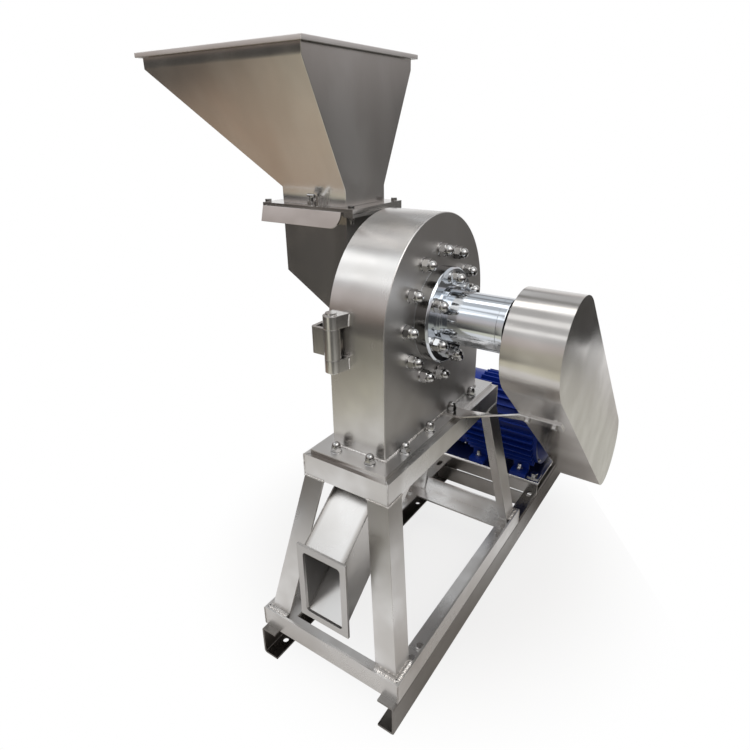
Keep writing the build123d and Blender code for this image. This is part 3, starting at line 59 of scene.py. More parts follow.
body_of = {}
for body, members in frame["record"]["behaviour"]["bodies"].items():
    for member in members:
        body_of[member] = body
slot_of = {row["node"]: row["material_slot"] for row in frame["record"]["subparts"]}
print("pieces in the frame:", len(nodes))

# %% [markdown]
# ## Camera
# The machine is seen from the front right and a little from above, at about the height of the hopper. A
# long lens far away would make the stand straight-sided. A short lens close by gives the stand its
# strong taper, and a small shift puts the lens axis where it belongs in the square picture.

# %% Camera
PICTURE = 750.0  # width and height, in pixels
FOCAL = 557.5  # focal length, in pixels
CENTRE = (388.6, 348.5)  # where the lens axis meets the picture, in pixels
SENSOR = 36.0  # millimetres
NEAREST = 0.05
EYE = Vector((0.5908, -0.9914, 1.1437))
TURN = math.radians(33.402)  # to the left of the machine's depth
PITCH = math.radians(21.762)  # downwards
ROLL = math.radians(0.378)


def put(name, data):
    """A new object in the scene."""
    made = bpy.data.objects.new(name, data)
    bpy.context.scene.collection.objects.link(made)
    return made


lens = bpy.data.cameras.new("camera")
lens.sensor_width = SENSOR
lens.lens = SENSOR * FOCAL / PICTURE
lens.shift_x = (PICTURE / 2 - CENTRE[0]) / PICTURE
lens.shift_y = (CENTRE[1] - PICTURE / 2) / PICTURE
lens.clip_start = NEAREST
camera = put("camera", lens)
facing = Matrix.Rotation(TURN, 4, "Z") @ Matrix.Rotation(math.pi / 2 - PITCH, 4, "X")
camera.matrix_world = Matrix.Translation(EYE) @ facing @ Matrix.Rotation(-ROLL, 4, "Z")
bpy.context.scene.camera = camera
print("lens", round(lens.lens, 2), "mm")

# %% [markdown]
# ## Shader arithmetic
# Finishes and surroundings are trees of nodes. Every node could be placed and linked by hand, but that
# is long to write and hard to read. Here a wire stands for one output socket: adding, subtracting or
# multiplying wires places the Math nodes, and one method places any other node, its settings first and
# its sockets after.


# %% Shader arithmetic
class Wire:
    """One value in a node tree."""

    def __init__(self, tree, socket=None):
        self.tree = tree
        self.socket = socket

    def node(self, kind, settings, sockets, out=0):
        made = self.tree.nodes.new(kind if "Node" in kind else "ShaderNode" + kind)
        for name, value in settings.items():
            setattr(made, name, value)
        for name, value in sockets.items():
            if isinstance(value, Wire):
                self.tree.links.new(value.socket, made.inputs[name])
            else:
                made.inputs[name].default_value = value
        return Wire(self.tree, made.outputs[out] if made.outputs else None)

    def out(self, name):
        """Another output of the same node."""
        return Wire(self.tree, self.socket.node.outputs[name])

    def math(self, operation, *values):
        return self.node("Math", {"operation": operation}, dict(enumerate(values)))

    def __add__(self, other):
        return self.math("ADD", self, other)

    def __radd__(self, other):
        return self.math("ADD", other, self)

    def __sub__(self, other):
        return self.math("SUBTRACT", self, other)

    def __rsub__(self, other):
        return self.math("SUBTRACT", other, self)

    def __mul__(self, other):
        return self.math("MULTIPLY", self, other)

    def __rmul__(self, other):
        return self.math("MULTIPLY", other, self)

    def ramp(self, low, high, start, end):
        """A soft step from start to end while the wire goes from low to high."""
        sockets = {"Value": self, "From Min": low, "From Max": high, "To Min": start, "To Max": end}
        return self.node("MapRange", {"interpolation_type": "SMOOTHSTEP"}, sockets)

    def rise(self, low, high, top=1.0):
        return self.ramp(low, high, 0.0, top)

    def fall(self, low, high):
        return self.ramp(low, high, 1.0, 0.0)

    def mix(self, first, second):
        """The first colour where the wire is 0, the second where it is 1."""
        return self.node("Mix", {"data_type": "RGBA"}, {0: self, 6: first, 7: second}, 2)

    def stretched(self, scale):
        return self.node("VectorMath", {"operation": "MULTIPLY"}, {0: self, 1: scale})

    def noise(self, scale, detail=2.0, roughness=0.5):
        sockets = {"Vector": self, "Scale": scale, "Detail": detail, "Roughness": roughness}
        return self.node("TexNoise", {}, sockets, "Fac")


print("a wire can:", ", ".join(name for name in vars(Wire) if not name.startswith("_")))


# %% Empty trees and greys
def fresh_tree(owner):
    """The emptied node tree of a world or a material."""
    owner.use_nodes = True
    owner.node_tree.nodes.clear()
    return Wire(owner.node_tree)


def grey(level, warm=0.0):
    """A grey with that share more red and less blue."""
    return (level * (1 + warm), level, level * (1 - warm), 1.0)


print("a warm grey", grey(0.5, 0.05))

# %% [markdown]
# ## Room
# Bright steel shows mostly what is round it, so the surroundings decide its looks. A picture of a
# workshop could be wrapped round the scene, but some soft-edged fields of plain colour do the same
# without a file. Each field is a soft step along one direction of the room: ahead, aside or upwards.
# The room stands square to the camera's first place and doesn't move with it.

# %% Directions in the room
world = bpy.data.worlds.new("studio")
bpy.context.scene.world = world
begin = fresh_tree(world)
ray = begin.node("TexCoord", {}, {}, "Generated")
east = ray.node("SeparateXYZ", {}, {"Vector": ray}, "X")
north = east.out("Y")
lift = east.out("Z")
ahead = east * -math.sin(TURN) + north * math.cos(TURN)
aside = east * math.cos(TURN) + north * math.sin(TURN)
azimuth = begin.math("ARCTAN2", north, east)
overhead = begin.math("ARCTAN2", lift, north)
print("room turned by", round(math.degrees(TURN), 1), "degrees")

# %% Left side of the room
BOARDS = (0.44, 0.32, 0.235, 1)
WORN_BOARDS = (0.53, 0.41, 0.315, 1)
NEAR_BOARDS = (0.80, 0.78, 0.64, 1)
PANEL_FOOT = grey(0.08, 0.06)
PANEL_TOP = (0.26, 0.21, 0.18, 1)
PATCHES = 2.3  # scale of the worn patches
PATCH_EDGE = (0.35, 0.65)
BOARDS_AHEAD = (-0.28, 0.0)  # each soft step is written as from and to
PANEL_FADE = (-0.14, 0.04)
LEFT_FOOT = (-0.46, -0.36)  # where the floor meets the panels

patches = ray.noise(PATCHES).rise(*PATCH_EDGE)
boards = patches.mix(BOARDS, WORN_BOARDS)
ground = ahead.rise(*BOARDS_AHEAD).mix(NEAR_BOARDS, boards)
panels = lift.rise(*PANEL_FADE).mix(PANEL_FOOT, PANEL_TOP)
left = lift.rise(*LEFT_FOOT).mix(ground, panels)
print("left side: boards below, panels above", LEFT_FOOT)

# %% Right side of the room
PAVING = (0.60, 0.59, 0.54, 1)
FAR_PAVING = (0.33, 0.31, 0.28, 1)
WALL = grey(0.05, 0.04)
WORN_WALL = grey(0.13, 0.04)
LIGHT_POST = grey(0.50, 0.02)
PAVING_EDGE = (0.70, 0.82)
RIGHT_FOOT = (-0.42, -0.34)  # where the paving meets the wall
POST = math.radians(53.3)  # azimuth of a light post in the wall
POST_EDGE = (math.radians(0.4), math.radians(2.4))

post = begin.math("ABSOLUTE", azimuth - POST).fall(*POST_EDGE)
wall = post.mix(patches.mix(WALL, WORN_WALL), LIGHT_POST)
paving = aside.rise(*PAVING_EDGE).mix(PAVING, FAR_PAVING)
right = lift.rise(*RIGHT_FOOT).mix(paving, wall)
print("right side: paving below, wall above", RIGHT_FOOT)

# %% Near side of the room
LEFT_TO_RIGHT = (-0.35, 0.45)
FRONT_FIELD = (0.60, 0.58, 0.50, 1)
FRONT_AHEAD = (-0.64, -0.50)
FRONT_ASIDE = (-0.35, -0.10)
DARK_DOOR = grey(0.10, 0.03)
DOORWAY = (-0.92, -0.82)

sides = aside.rise(*LEFT_TO_RIGHT).mix(left, right)
front = ahead.fall(*FRONT_AHEAD) * aside.fall(*FRONT_ASIDE)
near = front.mix(sides, FRONT_FIELD)
low_room = ahead.fall(*DOORWAY).mix(near, DARK_DOOR)
print("near side: light field and dark doorway", DOORWAY)

# %% Ceiling of the room
UPPER_WALL = (0.72, 0.67, 0.66, 1)
CEILING = grey(0.72, -0.02)
LAMP_LIGHT = grey(1.5, -0.02)
BEAM = grey(0.36)
UPPER_FADE = (-0.02, 0.32)
CEILING_FADE = (0.30, 0.52)
LAMP_BANDS = ((84.0, 5.0), (113.0, 6.0), (138.0, 4.0))  # angle and half width, in degrees
BEAM_BAND = (57.0, 5.0)
BAND_EDGE = 0.4  # soft edge as a share of the half width
BEAM_AHEAD = (0.58, 0.70)
BEAM_FOOT = (0.34, 0.42)
BEAM_TOP = (0.48, 0.54)
BEAM_END = (0.20, 0.30)


def band(angle, half):
    """A long soft-edged band across the ceiling, at an angle that counts from the back over the top."""
    off = overhead.math("ABSOLUTE", overhead - math.radians(angle))
    return off.fall(math.radians(half * (1 - BAND_EDGE)), math.radians(half * (1 + BAND_EDGE)))


glow = lift.rise(*UPPER_FADE).mix(low_room, UPPER_WALL)
near_lamp, middle_lamp, far_lamp = (band(angle, half) for angle, half in LAMP_BANDS)
lit = (near_lamp + middle_lamp + far_lamp).mix(CEILING, LAMP_LIGHT)
ceiling = lift.rise(*CEILING_FADE).mix(glow, lit)
beam = ahead.rise(*BEAM_AHEAD) * lift.rise(*BEAM_FOOT) * lift.fall(*BEAM_TOP) * aside.fall(*BEAM_END)
above = begin.math("MAXIMUM", beam, band(*BEAM_BAND)).mix(ceiling, BEAM)
print("ceiling: long lamps", len(LAMP_BANDS), "and two beams")

# %% [markdown]
# ## White background
# The machine stands before plain white. A white wall behind it would also light it from there, so white
# is shown only to rays that come straight from the camera, and to mirrored rays that leave the steel
# towards the back. All other rays meet the room.


# %% White background
def light_paths(wire):
    """Rays from the camera, and rays that were mirrored or bent on the way."""
    direct = wire.node("LightPath", {}, {}, "Is Camera Ray")
    return direct, direct.out("Is Glossy Ray") + direct.out("Is Transmission Ray")


BEHIND_AHEAD = (0.76, 0.94)
BEHIND_LIFT = (0.28, 0.38)
WHITE = grey(1.0)

direct, mirrored = light_paths(begin)
behind = ahead.rise(*BEHIND_AHEAD) * lift.fall(*BEHIND_LIFT)
seen = begin.math("MINIMUM", direct + mirrored * behind, 1.0)
light = begin.node("Background", {}, {"Color": seen.mix(above, WHITE), "Strength": 1.0})
begin.node("OutputWorld", {}, {"Surface": light})
print("world made with nodes:", len(world.node_tree.nodes))

# %% [markdown]
# ## Floor
# The machine stands on a sheet of white paper that runs away to the back and widens there. It could be
# lit until it is white, but so much light would bleach the steel. So the paper is matt and a little
# darker, which keeps the machine's shadow, and the camera and the steel see white mixed into it, most
# of all away from the machine.

# %% Floor sheet
# Corners of the sheet from its middle, in metres aside and ahead.
SHEET = (
    (-1.2, -0.9), (0.6, -0.9),
    (0.55, 0.3), (1.7, 1.0),
    (1.7, 9.0), (-1.7, 9.0),
    (-1.7, 1.2), (-1.2, 0.3),
)
MIDDLE = (-0.05, 0.2, -0.0005)  # just below the skids


def new_mesh(name, places, faces):
    made = bpy.data.meshes.new(name)
    made.from_pydata(places, [], faces)
    return made


floor_mesh = new_mesh("floor", [(x, y, 0.0) for x, y in SHEET], [tuple(range(len(SHEET)))])
floor = put("floor", floor_mesh)
floor.location = MIDDLE
floor.rotation_euler.z = TURN
print("floor sheet with", len(SHEET), "corners")

# %% Floor paper
MATT = grey(0.48, 0.07)
CLOSE = (0.30, 0.70)  # metres from the middle of the sheet
CLOSE_WHITE = 0.80  # how white the camera sees it close to the machine
RIGHT = (0.05, 0.35, 0.7)  # metres aside, and how white the steel sees it there
RIGHT_END = (-0.1, 0.15)  # metres ahead
FRONT = (0.45, 0.9, 0.85)  # metres from the middle, and how white
FRONT_END = (0.0, 0.2)
BACK = (0.45, 1.3)

paper = bpy.data.materials.new("pale_floor")
begin = fresh_tree(paper)
place = begin.node("TexCoord", {}, {}, "Object")
far = place.node("VectorMath", {"operation": "LENGTH"}, {0: place}, "Value")
across = place.node("SeparateXYZ", {}, {"Vector": place}, "X")
along = across.out("Y")
direct, mirrored = light_paths(begin)
front_right = across.rise(*RIGHT) * along.fall(*RIGHT_END)
front_far = far.rise(*FRONT) * along.fall(*FRONT_END)
front_white = begin.math("MAXIMUM", front_far, front_right)
all_white = begin.math("MAXIMUM", front_white, along.rise(*BACK))
shown = direct * far.ramp(*CLOSE, CLOSE_WHITE, 1.0) + mirrored * all_white
matt = begin.node("BsdfPrincipled", {}, {"Base Color": MATT, "Roughness": 0.9})
white = begin.node("Emission", {}, {"Color": WHITE, "Strength": 1.0})
mixed = begin.node("MixShader", {}, {0: begin.math("MINIMUM", shown, 1.0), 1: matt, 2: white})
begin.node("OutputMaterial", {}, {"Surface": mixed})
floor_mesh.materials.append(paper)
print("nodes of the paper:", len(paper.node_tree.nodes))

# %% [markdown]
# ## Lamps
# Most of the light comes from the room. Sun or spot lamps would throw hard shadows and small glints, so
# three large soft lamps are added: one high on the right, a long strip over the hopper and a weak cool
# one on the left.

# %% Lamps
WARM = (1.0, 0.98, 0.95)
COOL = (0.97, 0.99, 1.0)


def lamp(name, place, aim, size, power, tint):
    """A soft rectangular lamp that looks at a point."""
    made = bpy.data.lights.new(name, "AREA")
    made.shape = "RECTANGLE"
    made.size, made.size_y = size
    made.energy = power
    made.color = tint
    held = put(name, made)
    held.location = place
    held.rotation_euler = (Vector(aim) - Vector(place)).to_track_quat("-Z", "Y").to_euler()
    print("lamp", name, power, "W")


lamp("key", (1.6, -0.6, 2.6), (0.0, 0.1, 0.7), (2.0, 1.4), 20.0, WARM)
lamp("strip", (-0.1, 0.5, 2.9), (0.0, 0.2, 0.8), (2.4, 0.5), 6.0, WARM)
lamp("window", (-1.3, -1.2, 2.4), (0.0, -0.1, 0.9), (1.6, 0.8), 2.5, COOL)
bpy.context.scene.view_settings.view_transform = "Standard"

# %% [markdown]
# ## Brushed steel
# Sheet steel is ground with a belt, so its scratches run one way. A picture of scratches could be laid
# on each sheet, but it would smear at the folds. Noise that is stretched along one axis of the object
# runs on over them. It gives the tone, the gloss and a shallow relief, and broad clouds and wiped
# patches stand for use.


# %% From noise to a surface
def surface(name, build):
    """A material whose Principled inputs are what build() returns for the object's own coordinates."""
    made = bpy.data.materials.new(name)
    begin = fresh_tree(made)
    point = begin.node("TexCoord", {}, {}, "Object")
    shader = begin.node("BsdfPrincipled", {}, build(point))
    begin.node("OutputMaterial", {}, {"Surface": shader})
    return made


def relief(height, strength, depth):
    """Bumps of that depth, in metres, for the Normal input."""
    return height.node("Bump", {}, {"Height": height, "Strength": strength, "Distance": depth}, "Normal")


print("materials so far:", len(bpy.data.materials))

# %% Brushed steel
DETAIL = 3.0  # finer layers in the noise
TONES = (0.3, 0.7)  # noise from the dark to the light tone
HAIR_TONE = 0.04  # shares of scratches, clouds and wiped patches in the tone
CLOUD_TONE = 0.86
WIPED_TONE = 0.10
HAIR_GLOSS = 0.02  # and how far they move the roughness
CLOUD_GLOSS = 0.12
WIPED_GLOSS = 0.06
HAIR_BUMPS = (0.002, 0.0004)  # strength and depth
WIPES = 7.0  # wiped patches in a metre
WIPE_EDGE = (0.40, 0.62)
HEAT_TINT = grey(0.24, 0.10)
HEAT_FROM = 0.013  # metres in from a welded seam
HEAT_FULL = 0.001
HEAT_DEPTH = 0.75


def brushed(name, light, dark, grain, drift, gloss, metallic=1.0, seam=0.0):
    """Steel with scratches and clouds; a seam is how far the welded edges lie from the middle."""

    def build(point):
        hair = point.stretched(grain).noise(1.0, DETAIL, 0.6)
        cloud = point.stretched(drift).noise(1.0, DETAIL)
        wiped = point.noise(WIPES, DETAIL).rise(*WIPE_EDGE)
        tone = hair * HAIR_TONE + cloud * CLOUD_TONE + wiped * WIPED_TONE
        rough = (hair - 0.5) * HAIR_GLOSS + (cloud - 0.5) * CLOUD_GLOSS + (0.5 - wiped) * WIPED_GLOSS
        colour = tone.rise(*TONES).mix(dark, light)
        if seam:
            side = point.node("SeparateXYZ", {}, {"Vector": point}, "X")
            edge = side.math("ABSOLUTE", side)
            heat = edge.rise(seam - HEAT_FROM, seam - HEAT_FULL, HEAT_DEPTH)
            colour = heat.mix(colour, HEAT_TINT)
        return {
            "Base Color": colour,
            "Metallic": metallic,
            "Roughness": rough + gloss,
            "Normal": relief(hair, *HAIR_BUMPS),
        }

    return surface(name, build)


print("shares of the tone:", HAIR_TONE, CLOUD_TONE, WIPED_TONE)

# %% Kinds of brushed steel
STEEL = grey(0.62, 0.02)
SHADE = grey(0.54, 0.035)
MILL = grey(0.76, 0.01)
MILL_SHADE = grey(0.60, 0.03)
FINE = 900.0  # scratches in a metre, across the grain
LONG = 12.0  # and along it
UPWARDS = (FINE, FINE, LONG)
INWARDS = (FINE, LONG, FINE)
SIDEWAYS = (LONG, FINE, FINE)
NO_WAY = (FINE, FINE, FINE)
TALL = (9.0, 9.0, 2.5)  # clouds that run upwards
EVEN = (7.0, 7.0, 7.0)
DUCT_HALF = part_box("discharge_duct")[1][0]

upright = brushed("steel_upright", STEEL, SHADE, UPWARDS, TALL, 0.22)
around = brushed("steel_around", STEEL, SHADE, (FINE, LONG, LONG), (9.0, 3.0, 3.0), 0.24)
rolled = brushed("steel_rolled", MILL, MILL_SHADE, NO_WAY, EVEN, 0.29)
# Painted shade: the skids' steel is made dark for the shaded floor that they mirror.
folded_shaded = brushed("steel_folded", grey(0.24, 0.05), grey(0.17, 0.08), INWARDS, (9.0, 2.5, 9.0), 0.30)
matted = brushed("steel_matted", grey(0.56, 0.02), grey(0.49, 0.03), NO_WAY, EVEN, 0.40)
glossy = brushed("steel_glossy", grey(0.64, 0.03), grey(0.48, 0.05), SIDEWAYS, (6.0, 9.0, 9.0), 0.17)
seamed = brushed("steel_seamed", STEEL, SHADE, UPWARDS, TALL, 0.24, 1.0, DUCT_HALF)
# Painted shade: a dark steel for faces deep in shade, inside the guard and the duct and at the chute by
# the door.
painted_shade_steel = brushed("steel_dull", grey(0.26, 0.03), grey(0.18, 0.04), NO_WAY, (9.0, 9.0, 9.0), 0.60, 0.6)
print("seam of the duct at", round(DUCT_HALF, 4), "m from its middle")

# %% [markdown]
# ## Turned steel
# Shafts, nuts and the bearing's housing come from the lathe, which leaves fine rings round the axis.
# The rings could be drawn as waves, but a real lathe is not that even. Noise that is very fine along
# the shaft and coarse across it is close to rings, and a slow cloud keeps wide faces from looking flat.

# %% Turned steel
LATHE = (900.0, 40.0, 40.0)
LATHE_CLOUDS = 9.0
RING_GLOSS = 0.08  # how far rings and clouds move the roughness
SLOW_GLOSS = 0.06
RING_BUMPS = (0.05, 0.0003)


def turned(name, light, dark, gloss):
    def build(point):
        rings = point.stretched(LATHE).noise(1.0)
        cloud = point.noise(LATHE_CLOUDS)
        return {
            "Base Color": cloud.rise(*TONES).mix(dark, light),
            "Metallic": 1.0,
            "Roughness": (rings - 0.5) * RING_GLOSS + (cloud - 0.5) * SLOW_GLOSS + gloss,
            "Normal": relief(rings, *RING_BUMPS),
        }

    return surface(name, build)


polished = turned("steel_polished", (0.66, 0.69, 0.73, 1), (0.58, 0.61, 0.65, 1), 0.10)
bright = turned("steel_bright", grey(0.46, 0.01), grey(0.36, 0.02), 0.11)
# Painted dark reflection: the bearing flange's rim is made dark.
rim_dark_reflection = turned("steel_rim", grey(0.22, 0.01), grey(0.16, 0.02), 0.20)
# Painted highlight: the hopper's rim is made lighter than the other steel.
rim_highlight = turned("steel_edge", grey(0.86, 0.01), grey(0.78, 0.02), 0.34)
pin = turned("steel_pin", grey(0.72, 0.01), grey(0.64, 0.02), 0.22)
machined = turned("steel_machined", grey(0.52, 0.01), grey(0.42, 0.02), 0.34)
print("turned steel, rings in a metre:", LATHE[0])

# %% [markdown]
# ## Cast, painted and moulded skins
# Cast iron has a coarse skin, paint a faint orange peel, rubber and plastic a fine grain, and a weld
# bead small ripples. Each could have a tree of its own, but they differ only in numbers: how fine the
# grain is, how deep, and how the surface shines. So one tree serves them all.

# %% Cast, painted and moulded skins
SKIN_CLOUDS = 8.0
SKIN_GLOSS = 0.15
SKIN_BUMPS = 0.25


def skin(name, light, dark, gloss, metallic, grain, depth, shine=0.5):
    """A surface with so many grains in a metre, that deep."""

    def build(point):
        bumps = point.noise(grain, DETAIL)
        cloud = point.noise(SKIN_CLOUDS)
        return {
            "Base Color": cloud.rise(*TONES).mix(dark, light),
            "Metallic": metallic,
            "Roughness": (cloud - 0.5) * SKIN_GLOSS + gloss,
            "Specular IOR Level": shine,
            "Normal": relief(bumps, SKIN_BUMPS, depth),
        }

    return surface(name, build)


BLUE = (0.005, 0.028, 0.25, 1)
BLUE_SHADE = (0.004, 0.021, 0.18, 1)
iron = skin("cast_iron", grey(0.19), grey(0.13), 0.55, 0.6, 320.0, 0.0006)
rubber = skin("rubber", grey(0.035), grey(0.022), 0.7, 0.0, 500.0, 0.0003)
paint = skin("blue_paint", BLUE, BLUE_SHADE, 0.38, 0.0, 260.0, 0.0003, 0.3)
weld = skin("weld_bead", grey(0.58, 0.02), grey(0.40, 0.06), 0.32, 1.0, 700.0, 0.0002)
plastic = skin("black_plastic", grey(0.035), grey(0.024), 0.45, 0.0, 420.0, 0.0003)
print("finishes:", len(bpy.data.materials))

# %% [markdown]
# ## Clean copies of the solids
# The frame's meshes are loose triangles. A round edge could be laid on them as they are, but it would
# run along every triangle. So each solid is copied, its split corners are joined and its flat faces are
# made whole again.

# %% Clean copies of the solids
JOIN = 2e-6  # corners closer than this are one
FLAT = math.radians(0.4)  # faces within this angle are one


def clean_copy(node):
    """The node's shape as a bmesh with joined corners and whole flat faces."""
    made = bmesh.new()
    made.from_mesh(nodes[node].data)
    bmesh.ops.remove_doubles(made, verts=made.verts, dist=JOIN)
    bmesh.ops.dissolve_limit(made, angle_limit=FLAT, verts=made.verts, edges=made.edges)
    return made


def mesh_of(shape, name):
    """A plain mesh from a bmesh, with no leftover layers."""
    shape.verts.index_update()
    places = [tuple(v.co) for v in shape.verts]
    faces = [[v.index for v in f.verts] for f in shape.faces]
    shape.free()
    return new_mesh(name, places, faces)


shape = clean_copy("hopper")
print("hopper:", len(nodes["hopper"].data.polygons), "triangles become", len(shape.faces), "faces")
shape.free()

# %% [markdown]
# ## Softened edges
# No edge of a real sheet or bar is perfectly sharp, and the small round on it catches the light. It
# could be painted into the shading, but a true round also shows in the outline. So a Bevel rounds every
# fold, the result becomes a plain mesh, and weighted normals keep the flat faces flat between the
# rounds.

# %% Plain meshes
CORNER = 32.0  # degrees; sharper corners than this stay corners in the shading


def bake_modifiers(piece):
    """Swaps the piece's mesh for what its modifiers make of it, and takes them off."""
    graph = bpy.context.evaluated_depsgraph_get()
    result = bpy.data.meshes.new_from_object(piece.evaluated_get(graph))
    piece.modifiers.clear()
    piece.data = result
    result.name = piece.name


def plain(piece):
    """Makes a piece one plain mesh, smooth except at real corners."""
    bake_modifiers(piece)
    piece.data.shade_smooth()
    piece.data.set_sharp_from_angle(angle=math.radians(CORNER))
    even = piece.modifiers.new("even", "WEIGHTED_NORMAL")
    even.keep_sharp = True
    bake_modifiers(piece)
    return piece


print("smooth up to", CORNER, "degrees")

# %% Rounded edges
FOLD = 38.0  # degrees; sharper folds than this are rounded
ROUND_STEPS = 2


def piece_of(mesh, name, material):
    """Puts a mesh in the scene with its one material."""
    made = put(name, mesh)
    mesh.materials.clear()
    mesh.materials.append(material)
    return made


def settle(piece, body, slot, *stands_for):
    """Says which body a piece rides on and hides the nodes that it stands for; the slot is not used."""
    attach(piece, body)
    if stands_for:
        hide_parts(*stands_for)


def soften(node, material, width):
    """The node's look: a clean copy with rounded edges."""
    made = piece_of(mesh_of(clean_copy(node), node), node + "_look", material)
    if width:
        edge = made.modifiers.new("round", "BEVEL")
        edge.width = width
        edge.segments = ROUND_STEPS
        edge.limit_method = "ANGLE"
        edge.angle_limit = math.radians(FOLD)
        edge.use_clamp_overlap = True
    plain(made)
    settle(made, body_of[node], slot_of[node], node)


print("folds over", FOLD, "degrees get rounds of", ROUND_STEPS, "steps")

# %% [markdown]
# ## Dressing the solids
# Most pieces look as their material slot says. Giving every piece a finish by hand would hide the few
# that differ, so only those are listed: sheets with another grain, the skids in steel painted dark as a
# painted shade, pins and bolts. The same holds for the rounds. Nuts and the sieve are left out, because
# they are made anew further on.

# %% Finishes of the slots and of single pieces
SLOT_FINISH = {
    "stainless": upright,
    "polished_steel": polished,
    "fasteners": bright,
    "machined_steel": machined,
    "cast_iron": iron,
    "rubber": rubber,
    "motor_paint": paint,
    "black_plastic": plastic,
}
FINISH = {
    "housing_shell": around,
    "back_plate": matted,
    "outlet_flange": matted,
    "belt_guard": glossy,
    "feed_gate": glossy,
    "base_frame": rolled,
    "top_frame": rolled,
    "stand_legs": rolled,
    "skid_ties": rolled,
    # The skids get the dark steel, a painted shade.
    "skid_left": folded_shaded,
    "skid_right": folded_shaded,
    "hinge_lugs": pin,
    "hinge_pin": pin,
    "door_hinge_leaf": pin,
    "motor_bolts": pin,
    "stand_bolts": pin,
    "guard_bolts": pin,
}
print("slots:", len(SLOT_FINISH), "and pieces with a finish of their own:", len(FINISH))

# %% Rounds of the pieces
EDGE_ROUND = 0.0008
ROUND = {
    "hopper": 0.0012,
    "housing_shell": 0.0005,
    "back_plate": 0.0,
    "feed_chute": 0.002,
    "hopper_flange": 0.0015,
    "belt_guard": 0.0006,
    "motor_fan_cover": 0.0005,
    "hinge_lugs": 0.003,
}
REMADE = ("base_cap_nuts", "liner_cap_nuts", "bearing_flange_nuts", "screen_ring")
for node in nodes:
    if node not in REMADE:
        soften(node, FINISH.get(node, SLOT_FINISH[slot_of[node]]), ROUND.get(node, EDGE_ROUND))
print("softened:", len(nodes) - len(REMADE))

# %% [markdown]
# ## Faces with a material of their own
# Inside, the belt guard and the duct get dark steel as painted shade, the mouth of the chute too. The rim
# of the back plate takes the shell's finish, the hopper's rim a lighter steel as a painted highlight, and
# the bearing flange's rim a darker one as a painted dark reflection. The duct's sloping roof is tinted by
# the heat of its seams. Each could be cut off as a piece, but a second material on the chosen faces
# leaves it whole.

# %% Painted shade inside the guard, the duct and the chute
STRAIGHT = 0.9  # a face with this much of an axis in its normal looks along the axis


def repaint(node, material, chosen):
    """Gives the chosen faces of a node's look another material."""
    mesh = bpy.data.objects[node + "_look"].data
    mesh.materials.append(material)
    changed = 0
    for face in mesh.polygons:
        if chosen(face):
            face.material_index = len(mesh.materials) - 1
            changed += 1
    print(node, "faces in", material.name, changed)


# Painted shade inside the guard and the duct, and on the chute's faces towards the door.
for node in ("belt_guard", "discharge_duct"):
    low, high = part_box(node)
    middle = (Vector(low) + Vector(high)) / 2
    repaint(node, painted_shade_steel, lambda face: face.normal.dot(face.center - middle) < 0)
repaint("feed_chute", painted_shade_steel, lambda face: face.normal.x > STRAIGHT)

# %% Roof of the duct, rim of the back plate and top of the base flange
EDGEWISE = 0.5  # with less of an axis in its normal, a face lies along it
SLOPING = 0.3
plate_low, plate_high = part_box("back_plate")
FLANGE_TOP = plate_low[2]  # the plate stands on the chamber's base flange
FLANGE_ROOM = 0.006  # faces up to this far above still belong to the flange

flange_high = FLANGE_TOP + FLANGE_ROOM
repaint("back_plate", around, lambda face: abs(face.normal.x) < EDGEWISE)
repaint("discharge_duct", seamed, lambda face: face.material_index == 0 and face.normal.z > SLOPING)
repaint("housing_shell", rolled, lambda face: face.center.z < flange_high and face.normal.z > STRAIGHT)

# %% Rims of the hopper and the bearing, a painted highlight and a painted dark reflection
HOPPER_RIM = 0.010  # height of the folded rim
BEARING_RIM = 0.006  # faces this far in still belong to the flange's rim
RIM_TILT = 0.1  # most that they lean along the shaft
flange_low, flange_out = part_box("bearing_housing")
AXIS = (flange_low[2] + flange_out[2]) / 2  # height of the shaft

rim_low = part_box("hopper")[1][2] - HOPPER_RIM
rim_in = flange_out[1] - BEARING_RIM


def on_bearing_rim(face):
    return abs(face.normal.x) < RIM_TILT and math.hypot(face.center.y, face.center.z - AXIS) > rim_in


# Painted highlight on the hopper's rim.
repaint("hopper", rim_highlight, lambda face: face.center.z > rim_low and abs(face.normal.z) < STRAIGHT)
# Painted dark reflection on the bearing flange's rim.
repaint("bearing_housing", rim_dark_reflection, on_bearing_rim)
print("shaft at", round(AXIS, 4), "m")

# %% [markdown]
# ## Copies on points
# Nuts, weld ripples, sieve holes and screws repeat many times. Each copy could be an object, but
# thousands of them are slow. One Geometry Nodes tree does them all: it puts a form on every point of a
# cloud, turned and sized as the point says, and spins it by a chance that the seed keeps the same each
# time.

# %% Tree for copies on points
copier = bpy.data.node_groups.new("copies_on_points", "GeometryNodeTree")
INPUTS = {"Points": "Geometry", "Shape": "Object", "Spin": "Float", "Seed": "Int", "Material": "Material"}
socket_id = {}
for label, kind in INPUTS.items():
    made = copier.interface.new_socket(label, in_out="INPUT", socket_type="NodeSocket" + kind)
    socket_id[label] = made.identifier
copier.interface.new_socket("Pieces", in_out="OUTPUT", socket_type="NodeSocketGeometry")
given = Wire(copier).node("NodeGroupInput", {}, {}, "Points")
form = given.node("GeometryNodeObjectInfo", {}, {"Object": given.out("Shape")}, "Geometry")
turn = given.node("GeometryNodeInputNamedAttribute", {"data_type": "FLOAT_VECTOR"}, {"Name": "turn"})
size = given.node("GeometryNodeInputNamedAttribute", {"data_type": "FLOAT_VECTOR"}, {"Name": "size"})
sockets = {"Points": given, "Instance": form, "Rotation": turn, "Scale": size}
placed = given.node("GeometryNodeInstanceOnPoints", {}, sockets)
sockets = {2: 0.0, 3: given.out("Spin"), "Seed": given.out("Seed")}
chance = given.node("FunctionNodeRandomValue", {"data_type": "FLOAT"}, sockets, 1)
about = given.node("CombineXYZ", {}, {"Z": chance})
